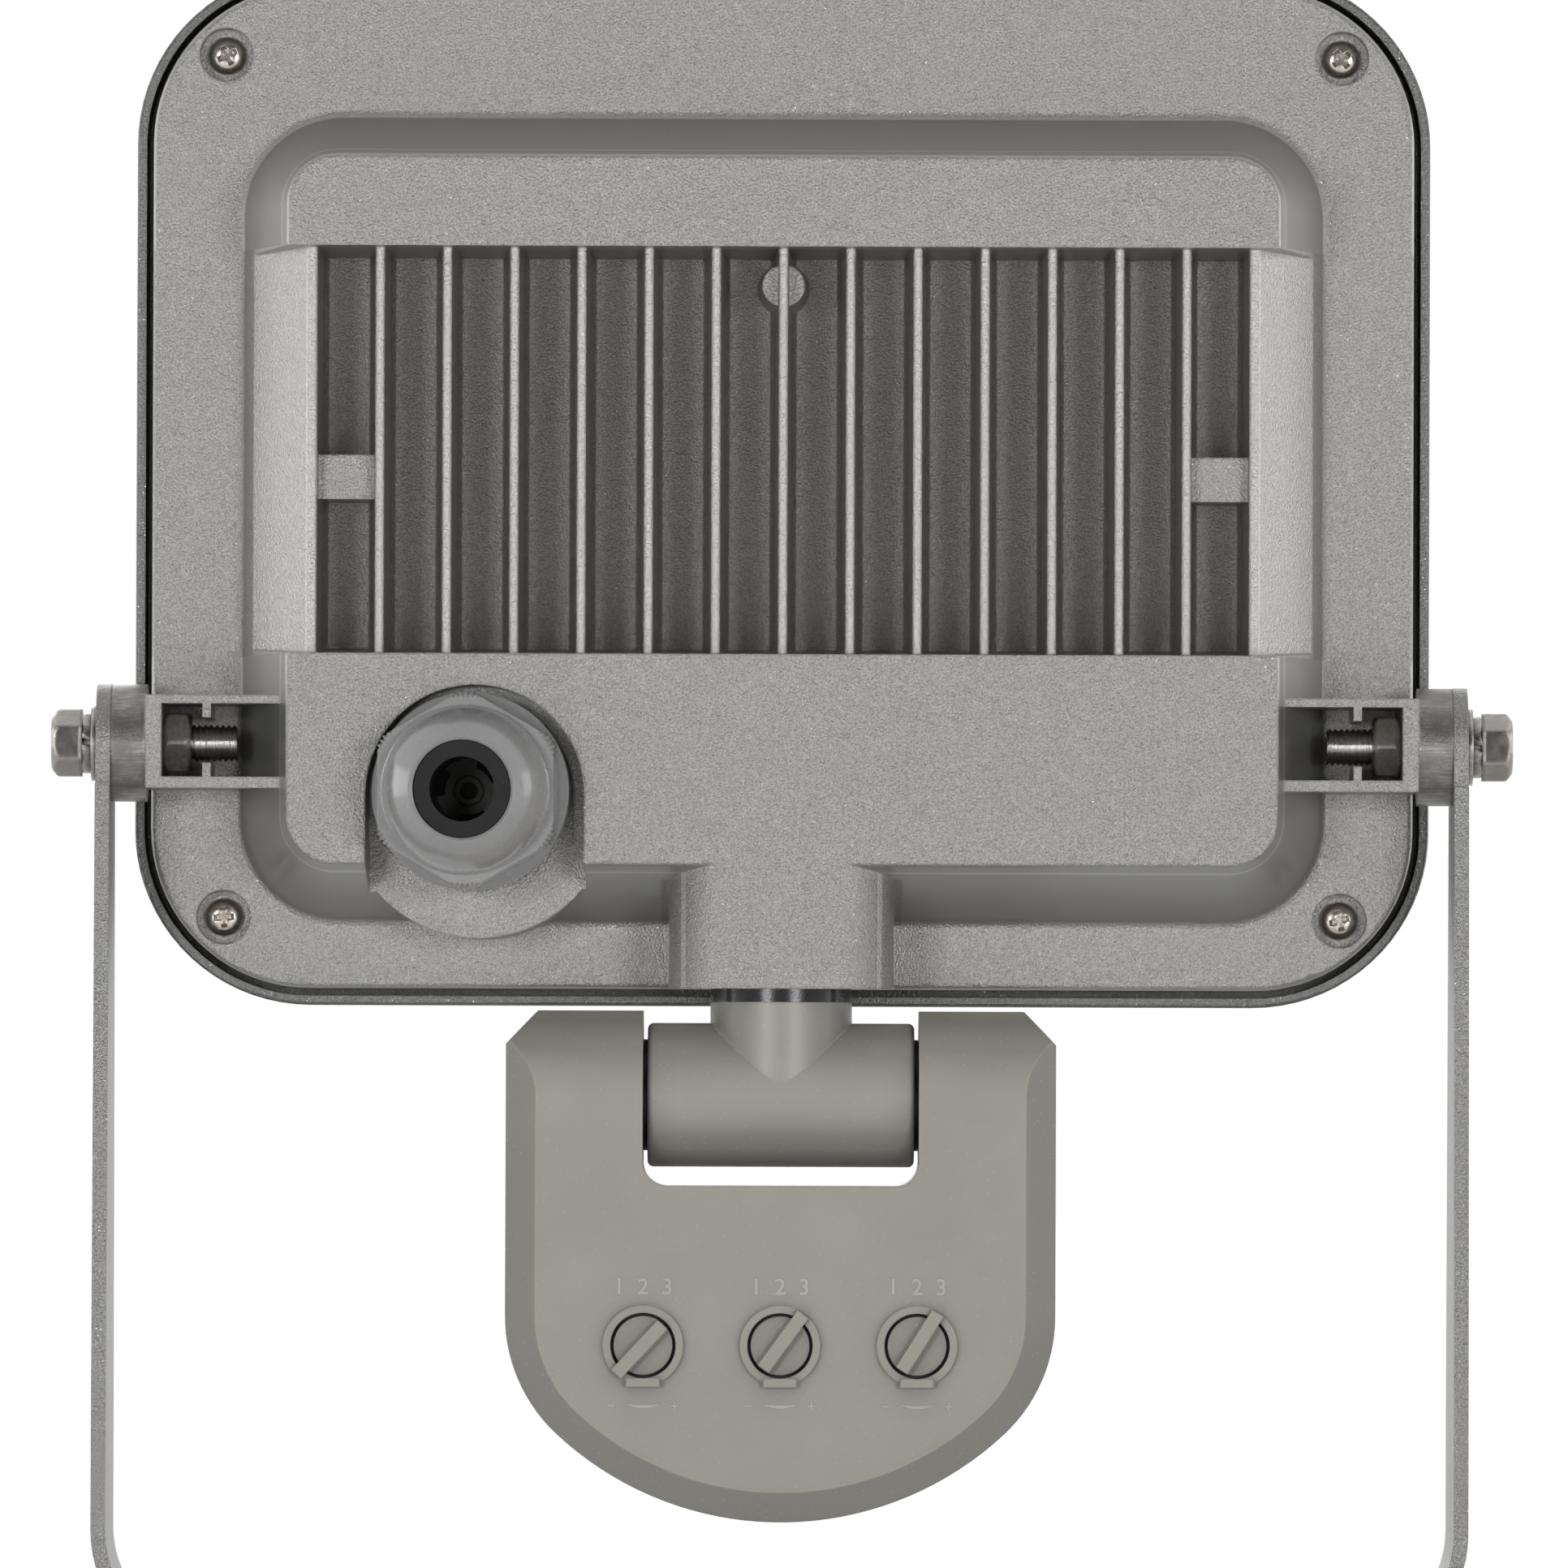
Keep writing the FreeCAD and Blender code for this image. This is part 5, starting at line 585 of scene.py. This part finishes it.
def carve(bm, cutter, operation="DIFFERENCE"):
    # one shape cut by another, or what the two have in common
    both = []
    for shape in (bm, cutter):
        mesh = bpy.data.meshes.new("carving")
        shape.to_mesh(mesh)
        shape.free()
        both.append(bpy.data.objects.new("carving", mesh))
        bpy.context.collection.objects.link(both[-1])
    boolean = both[0].modifiers.new("carve", "BOOLEAN")
    boolean.operation = operation
    boolean.object = both[1]
    boolean.solver = "EXACT"
    boolean.use_self = True
    ready = both[0].evaluated_get(bpy.context.evaluated_depsgraph_get())
    mesh = bpy.data.meshes.new_from_object(ready)
    result = bmesh.new()
    result.from_mesh(mesh)
    bpy.data.meshes.remove(mesh)
    for thing in both:
        old = thing.data
        bpy.data.objects.remove(thing)
        bpy.data.meshes.remove(old)
    return result


def pour(target, source, place=Matrix.Identity(4)):
    # adds one shape to another, standing in a given place
    mesh = bpy.data.meshes.new("pouring")
    source.to_mesh(mesh)
    mesh.transform(place)
    target.from_mesh(mesh)
    bpy.data.meshes.remove(mesh)


def along(place, axis, roll=0.0):
    # stands a shape's upright axis along another one
    turn = Vector(axis).normalized().to_track_quat("Z", "X").to_matrix().to_4x4()
    return Matrix.Translation(Vector(place) * mm) @ turn @ Matrix.Rotation(math.radians(roll), 4, "Z")


# the pan head's outline as shares of its radius and rise, and how its recess narrows
panValues = {"outline": [(0, 1), (0.45, 0.985), (0.68, 0.90), (0.84, 0.72), (0.95, 0.45), (1, 0.2), (1, 0)],
             "taper": (0.45, 0.55), "cone": (0.35, 0.95), "steps": 40}
screwSets = {
    # radius and rise of the head, radius and length of the shank, length, width and depth of the cross
    "corner_screws": {
        "node": "bezel_screws", "body": "lamp", "seat": -11.9, "axis": (0, 1, 0), "turns": (4, 11),
        "places": [(76.7, 100.7), (-76.7, 100.7), (76.7, 219.3), (-76.7, 219.3)],
        "head": 2.65, "rise": 1.9, "shank": 1.5, "length": 8.5, "cross": (4.1, 1.1, 1.0)},
    "board_screws": {
        "node": "led_board_screws", "body": "lamp", "seat": -13.0, "axis": (0, -1, 0), "turns": (4, 11),
        "places": [(52.0, 142.9), (-52.0, 142.9), (52.0, 184.9), (-52.0, 184.9)],
        "head": 2.4, "rise": 1.2, "shank": 1.5, "length": 4.5, "cross": (2.9, 0.8, 0.8)},
    "sensor_screws": {
        "node": "shell_screws", "body": "sensor_head", "seat": -6.5, "axis": (0, -1, 0), "turns": (0, 20),
        "places": [(30.5, 59.0), (-30.5, 59.0), (29.0, 36.3), (-29.0, 36.3)],
        "head": 2.0, "rise": 1.5, "shank": 1.0, "length": 10.0, "cross": (2.4, 0.7, 0.8)},
}


def panScrew(values):
    # a pan head with a cross recess and a plain shank
    rise, shank, length = values["rise"], values["shank"], values["length"]
    reach, width, deep = values["cross"]
    line = [(values["head"] * out, rise * up) for out, up in panValues["outline"]]
    line += [(shank, 0), (shank, -length), (0, -length)]
    cutter = bmesh.new()
    for turn in (0, 90):
        bar = block(cutter, (reach, width, deep * 2), (0, 0, rise))
        foot = [corner for corner in bar if corner.co.z < rise * mm]
        bmesh.ops.scale(cutter, verts=foot, vec=(*panValues["taper"], 1))
        bmesh.ops.rotate(cutter, verts=bar, cent=(0, 0, 0),
                         matrix=Matrix.Rotation(math.radians(turn), 3, "Z"))
    low, high = panValues["cone"]
    bmesh.ops.create_cone(cutter, cap_ends=True, segments=16, radius1=width * low * mm,
                          radius2=width * high * mm, depth=deep * 2 * mm,
                          matrix=Matrix.Translation((0, 0, rise * mm)))
    return carve(turnedShape(line, panValues["steps"]), cutter)


for name, values in screwSets.items():
    bm = bmesh.new()
    screw = panScrew(values)
    first, more = values["turns"]
    for number, (x, z) in enumerate(values["places"]):
        pour(bm, screw, along((x, values["seat"], z), values["axis"], first + more * number))
    screw.free()
    addPiece(bm, name, values["body"], [finish["screw"]], [values["node"]], 40)

# a hexagon's turned-down corners, as shares of its flats and its crown
hexCrown = [(0.62, 1), (0.555, 0.45), (0.485, 0.12), (0.45, 0)]
threadValues = {"pitch": 0.8, "depth": 0.32, "crest": (0.42, 0.58), "steps": 28, "spare": 2}
boltValues = {"head": 95.75, "flats": 8.0, "height": 4.2, "crown": 1.5, "shank": 2.5, "length": 21.2,
              "plain": 12.0, "level": 124.4}


def threadedRod(radius, length, values):
    # a thread spun as one long helix, then cut flat at both ends
    pitch, root = values["pitch"], radius - values["depth"]
    low, high = values["crest"]
    bm = bmesh.new()
    line = outline(bm, [(root, -pitch), (radius, (low - 1) * pitch), (radius, (high - 1) * pitch), (root, 0)])
    turns = math.ceil(length / pitch) + values["spare"]
    spin(bm, line, math.tau * turns, values["steps"] * turns, dvec=(0, 0, pitch / values["steps"] * mm))
    bmesh.ops.remove_doubles(bm, verts=bm.verts, dist=0.004 * mm)
    for height, way in ((0, -1), (length, 1)):
        geometry = list(bm.verts) + list(bm.edges) + list(bm.faces)
        bmesh.ops.bisect_plane(bm, geom=geometry, dist=0.0005 * mm, plane_co=(0, 0, height * mm),
                               plane_no=(0, 0, way), clear_outer=True)
        rim = [edge for edge in bm.edges if edge.is_boundary and
               all(abs(corner.co.z - height * mm) < 0.002 * mm for corner in edge.verts)]
        bmesh.ops.edgeloop_fill(bm, edges=rim)
    bmesh.ops.recalc_face_normals(bm, faces=bm.faces)
    return bm


def hexHead(values, both=False):
    # a hexagon whose corners are turned down at its outer end, or at both
    flats, height = values["flats"], values["height"]
    prism = bmesh.new()
    bmesh.ops.create_cone(prism, cap_ends=True, segments=6, radius1=flats / math.sqrt(3) * mm,
                          radius2=flats / math.sqrt(3) * mm, depth=height * mm,
                          matrix=Matrix.Translation((0, 0, height / 2 * mm)))
    rows = [(flats * out, values["crown"] * down) for out, down in hexCrown]
    foot = [(0, 0)] + rows[::-1] if both else [(0, -0.5), (rows[0][0], -0.5)]
    bell = turnedShape(foot + [(radius, height - down) for radius, down in rows] + [(0, height)], 60)
    return carve(prism, bell, "INTERSECT")


bm = bmesh.new()
head = hexHead(boltValues)
plain = turnedShape([(0, 0), (boltValues["shank"], 0), (boltValues["shank"], -boltValues["plain"]),
                     (0, -boltValues["plain"])], 40)
thread = threadedRod(boltValues["shank"], boltValues["length"] - boltValues["plain"], threadValues)
for side in (1, -1):
    spot = (side * boltValues["head"], 0, boltValues["level"])
    tip = (side * (boltValues["head"] - boltValues["length"]), 0, boltValues["level"])
    pour(bm, head, along(spot, (side, 0, 0), 30))
    pour(bm, plain, along(spot, (side, 0, 0)))
    pour(bm, thread, along(tip, (side, 0, 0)))
for shape in (head, plain, thread):
    shape.free()
addPiece(bm, "tilt_bolts", "lamp", [finish["zinc"]], ["pivot_bolts"], 28)

tiltNutValues = {"start": 80.7, "height": 4.0, "flats": 8.0, "hole": 2.52, "crown": 1.4}
bm, hole = bmesh.new(), bmesh.new()
bmesh.ops.create_cone(hole, cap_ends=True, segments=40, radius1=tiltNutValues["hole"] * mm,
                      radius2=tiltNutValues["hole"] * mm, depth=3 * tiltNutValues["height"] * mm)
nut = carve(hexHead(tiltNutValues, both=True), hole)
for side in (1, -1):
    pour(bm, nut, along((side * tiltNutValues["start"], 0, boltValues["level"]), (side, 0, 0)))
nut.free()
addPiece(bm, "tilt_nuts", "lamp", [finish["nut"]], ["pivot_nuts"], 28)

springValues = {"start": 94.5, "sheet": 1.25, "inner": 2.75, "outer": 4.2, "gap": 13.0, "edge": 0.18,
                "slant": 0.10, "steps": 60}


def springWasher(values):
    # a square wire bent round, its two ends cut on a slant
    edge, high, inner, outer = values["edge"], values["sheet"], values["inner"], values["outer"]
    bm = bmesh.new()
    line = outline(bm, [(inner, 0), (outer - edge, 0), (outer, edge), (outer, high - edge),
                        (outer - edge, high), (inner, high)], closed=True)
    spin(bm, line, math.radians(360 - values["gap"]), values["steps"])
    for corner in bm.verts:
        slant = (corner.co.z / mm - high / 2) * values["slant"]
        corner.co = Matrix.Rotation(slant, 3, "Z") @ corner.co
    closeEnds(bm)
    return bm


bm = bmesh.new()
spring = springWasher(springValues)
for side in (1, -1):
    base = Matrix.Translation(Vector((side * springValues["start"], 0, boltValues["level"])) * mm)
    turn = Matrix.Rotation(math.radians(90 * side), 4, "Y")
    pour(bm, spring, base @ turn @ Matrix.Rotation(math.radians(90 + springValues["gap"] / 2), 4, "Z"))
spring.free()
addPiece(bm, "spring_washers", "lamp", [finish["zinc"]], ["pivot_spring_washers"], 28)

print("cable gland")
glandValues = {"place": (42.2, 2.5, 117.8), "turn": -2.5}
glandUp = (Matrix.Translation(Vector(glandValues["place"]) * mm)
           @ Matrix.Rotation(math.radians(glandValues["turn"]), 4, "Z")
           @ Matrix.Rotation(math.radians(-90), 4, "X"))
capValues = {"low": 8.0, "high": 18.0, "flats": 24.0, "corner": 13.25, "chamfer": 0.5, "ease": 0.45,
             "tooth": 0.22, "teeth": 120, "toothFrom": 12.95, "steps": 720, "domeFoot": 11.5,
             "domeRound": 10.4, "domeHeight": 8.4, "domeRows": 12, "mouth": 6.65, "lip": 0.35, "rim": 1.2,
             "throat": (8.6, 21.5), "bore": 9.4, "boreTop": 19.2, "hexagonFrom": 11.9}


def glandCap(values):
    # a dome over a hexagon with round corners, and fine teeth on the corners
    low, high, corner, bore = values["low"], values["high"], values["corner"], values["bore"]
    dome, mouth, lip = values["domeRound"], values["mouth"], values["lip"]
    rows = [(bore, low), (corner - values["chamfer"], low), (corner, low + values["ease"]),
            (corner, high - values["chamfer"]), (corner - values["ease"], high - 0.02)]
    centre = values["domeFoot"] - dome
    top = high + values["domeHeight"]
    for row in range(values["domeRows"] + 1):
        lift = math.asin(values["domeHeight"] / dome) * row / values["domeRows"]
        rows.append((centre + dome * math.cos(lift), high + dome * math.sin(lift)))
    rows += [(mouth + lip, top), (mouth, top - lip), (mouth, top - values["rim"]), values["throat"],
             (bore, values["boreTop"])]
    bm = turnedShape(rows, values["steps"], closed=True)
    for vert in bm.verts:
        radius = math.hypot(vert.co.x, vert.co.y) / mm
        if radius < values["hexagonFrom"] or vert.co.z / mm > high + 0.01:
            continue
        angle = math.degrees(math.atan2(vert.co.y, vert.co.x))
        flat = values["flats"] / 2 / math.cos(math.radians((angle + 30) % 60 - 30))
        if flat > values["toothFrom"]:
            toothed = radius + values["tooth"] * math.cos(math.radians(angle * values["teeth"]))
        else:
            toothed = radius
        vert.co.x *= min(flat, toothed) / radius
        vert.co.y *= min(flat, toothed) / radius
    return bm


bm = bmesh.new()
cap = glandCap(capValues)
pour(bm, cap, glandUp)
cap.free()
addPiece(bm, "gland_cap", "lamp", [finish["gland"]], ["gland_nut"], 24)

discValues = {"low": 9.2, "high": 10.0, "radius": 6.4, "hole": 1.15, "collar": 2.1, "slant": 0.2,
              "rise": 0.12, "slots": (75, 200, 318), "slotSweep": 52, "slotFrom": 3.3, "slotTo": 5.3,
              "over": 1, "steps": 64, "slotSteps": 14}


def dustDisc(values):
    # a disc with a collar round its hole and three curved slots
    low, high, hole, collar = values["low"], values["high"], values["hole"], values["collar"]
    disc = turnedShape([(hole, low), (values["radius"], low), (values["radius"], high), (collar, high),
                        (collar - values["slant"], high + values["rise"]), (hole, high + values["rise"])],
                       values["steps"], closed=True)
    under, above = low - values["over"], high + values["over"]
    slot, cutter = bmesh.new(), bmesh.new()
    line = outline(slot, [(values["slotFrom"], under), (values["slotTo"], under),
                          (values["slotTo"], above), (values["slotFrom"], above)], closed=True)
    spin(slot, line, math.radians(values["slotSweep"]), values["slotSteps"])
    closeEnds(slot)
    for turn in values["slots"]:
        pour(cutter, slot, Matrix.Rotation(math.radians(turn), 4, "Z"))
    slot.free()
    return carve(disc, cutter)


bm = bmesh.new()
disc = dustDisc(discValues)
pour(bm, disc, glandUp)
disc.free()
addPiece(bm, "gland_inner_disc", "lamp", [finish["dustDisc"]], ["gland_dust_disc"], 30)

print("leds and lens")
ledValues = {"columns": 10, "rows": 5, "pitch": 9.0, "side": 3.0, "rise": 0.7, "back": -13.0,
             "centre": 163.9, "frame": 0.32, "wall": 0.12, "cup": 0.22}
bm, chip = bmesh.new(), bmesh.new()
block(chip, (ledValues["side"], ledValues["side"], ledValues["rise"]), (0, 0, ledValues["rise"] / 2))
window = [face for face in chip.faces if face.normal.z > 0.9]
bmesh.ops.inset_region(chip, faces=window, thickness=ledValues["frame"] * mm, depth=0)
bmesh.ops.inset_region(chip, faces=window, thickness=ledValues["wall"] * mm, depth=-ledValues["cup"] * mm)
for face in window:
    face.material_index = 1
for column in range(ledValues["columns"]):
    for row in range(ledValues["rows"]):
        x = ledValues["pitch"] * (column - (ledValues["columns"] - 1) / 2)
        z = ledValues["centre"] + ledValues["pitch"] * (row - (ledValues["rows"] - 1) / 2)
        pour(bm, chip, along((x, ledValues["back"], z), (0, -1, 0)))
chip.free()
addPiece(bm, "leds", "lamp", [finish["whitePlastic"], finish["phosphor"]], ["led_chips"], 30)

lensValues = {"half": (24.9, 19.3, 18.9), "centre": (0, -6.8, 41.0), "wall": 1.0, "columns": 22, "rows": 12,
              "groove": 0.14, "swell": 0.09}
bm = bmesh.new()
bmesh.ops.create_uvsphere(bm, u_segments=lensValues["columns"] * 2, v_segments=lensValues["rows"] * 2,
                          radius=mm)
bmesh.ops.scale(bm, verts=bm.verts, vec=Vector(lensValues["half"]))
geometry = list(bm.verts) + list(bm.edges) + list(bm.faces)
bmesh.ops.bisect_plane(bm, geom=geometry, dist=0.001 * mm, plane_co=(0, 0, 0), plane_no=(0, 1, 0),
                       clear_outer=True)
bmesh.ops.inset_individual(bm, faces=list(bm.faces), thickness=lensValues["groove"] * mm,
                           depth=lensValues["swell"] * mm)
bmesh.ops.translate(bm, verts=bm.verts, vec=Vector(lensValues["centre"]) * mm)
bmesh.ops.recalc_face_normals(bm, faces=bm.faces)
lens = addPiece(bm, "lens", "sensor_head", [finish["lens"]], ["sensor_lens"], 50)
wall = lens.modifiers.new("wall", "SOLIDIFY")
wall.thickness = lensValues["wall"] * mm
wall.offset = -1

print("marks round the knobs")
dialValues = {"centres": (18.65, 0.0, -18.65), "level": 42.4, "face": 13.0}
markValues = {"digits": "1  2  3", "size": 3.1, "halfDigit": 0.36, "bolder": 0.06, "rise": 0.06,
              "curves": 4, "above": 8.1, "below": 8.2, "side": 4.3, "stroke": 0.24, "dash": 1.05,
              "bow": 5.1, "bowCentre": 4.75, "cutBow": 19.3, "cutCentre": 19.4, "bowSteps": 160}


def figures(values):
    # the digits as a closed mesh, turned from a text curve
    text = bpy.data.curves.new("figures", "FONT")
    text.body = values["digits"]
    text.size = values["size"] * mm
    text.extrude = values["rise"] * mm
    text.offset = values["bolder"] * mm
    text.resolution_u = values["curves"]
    text.align_x = "CENTER"
    thing = bpy.data.objects.new("figures", text)
    bpy.context.collection.objects.link(thing)
    mesh = bpy.data.meshes.new_from_object(thing.evaluated_get(bpy.context.evaluated_depsgraph_get()))
    mesh.transform(Matrix.Translation((0, (values["above"] - values["size"] * values["halfDigit"]) * mm, 0)))
    bm = bmesh.new()
    bm.from_mesh(mesh)
    bpy.data.objects.remove(thing)
    bpy.data.curves.remove(text)
    bpy.data.meshes.remove(mesh)
    return bm


def dialMarks(values):
    # small figures above a knob, and minus, sweep and plus below it
    thick, stroke, dash = values["rise"] * 2, values["stroke"], values["dash"]
    minus, cross, bar = bmesh.new(), bmesh.new(), bmesh.new()
    block(minus, (dash, stroke, thick), (-values["side"], -values["below"], 0))
    block(cross, (dash, stroke, thick), (values["side"], -values["below"], 0))
    block(bar, (stroke, dash, thick), (values["side"], -values["below"], 0))
    sweep, cutter = bmesh.new(), bmesh.new()
    for shape, radius, centre, depth in ((sweep, values["bow"], values["bowCentre"], thick),
                                         (cutter, values["cutBow"], values["cutCentre"], thick * 3)):
        bmesh.ops.create_cone(shape, cap_ends=True, segments=values["bowSteps"], radius1=radius * mm,
                              radius2=radius * mm, depth=depth * mm,
                              matrix=Matrix.Translation((0, (centre - values["below"]) * mm, 0)))
    bm = bmesh.new()
    for shape in (minus, carve(sweep, cutter), carve(cross, bar, "UNION"), figures(values)):
        pour(bm, shape)
        shape.free()
    bmesh.ops.remove_doubles(bm, verts=bm.verts, dist=0.0005 * mm)
    bmesh.ops.recalc_face_normals(bm, faces=bm.faces)
    return bm


bm = bmesh.new()
marks = dialMarks(markValues)
for centre in dialValues["centres"]:
    # written on the back face: rightwards is -X, upwards is Z
    place = Matrix(((-1, 0, 0, centre * mm), (0, 0, 1, dialValues["face"] * mm),
                    (0, 1, 0, dialValues["level"] * mm), (0, 0, 0, 1)))
    pour(bm, marks, place)
marks.free()
addPiece(bm, "dial_marks", "sensor_head", [finish["mark"]], sharp=20)

print("finishes of the frame's own pieces")
slotFinishes = {
    "housing_paint": "housing", "bracket_paint": "bracket", "sensor_plastic": "sensor",
    "gland_plastic": "gland", "zinc_steel": "zinc", "black_rubber": "rubber", "clear_glass": "glass",
    "white_board": "board", "led_phosphor": "phosphor", "white_plastic": "whitePlastic",
    "green_board": "greenBoard", "transformer_tape": "tape", "black_plastic": "blackPlastic",
    "copper_wire": "copper", "lens_plastic": "lens", "photocell_face": "cell",
    "adjuster_plastic": "blackPlastic",
}
for thing in nodes.values():
    for slot in thing.material_slots:
        slotName = slot.material.name.split(".")[0]
        if slotName in slotFinishes:
            slot.material = finish[slotFinishes[slotName]]
for name, chosen in (("front_bezel", "bezel"), ("stem_seal", "wetRubber")):
    nodes[name].material_slots[0].material = finish[chosen]

print("done")
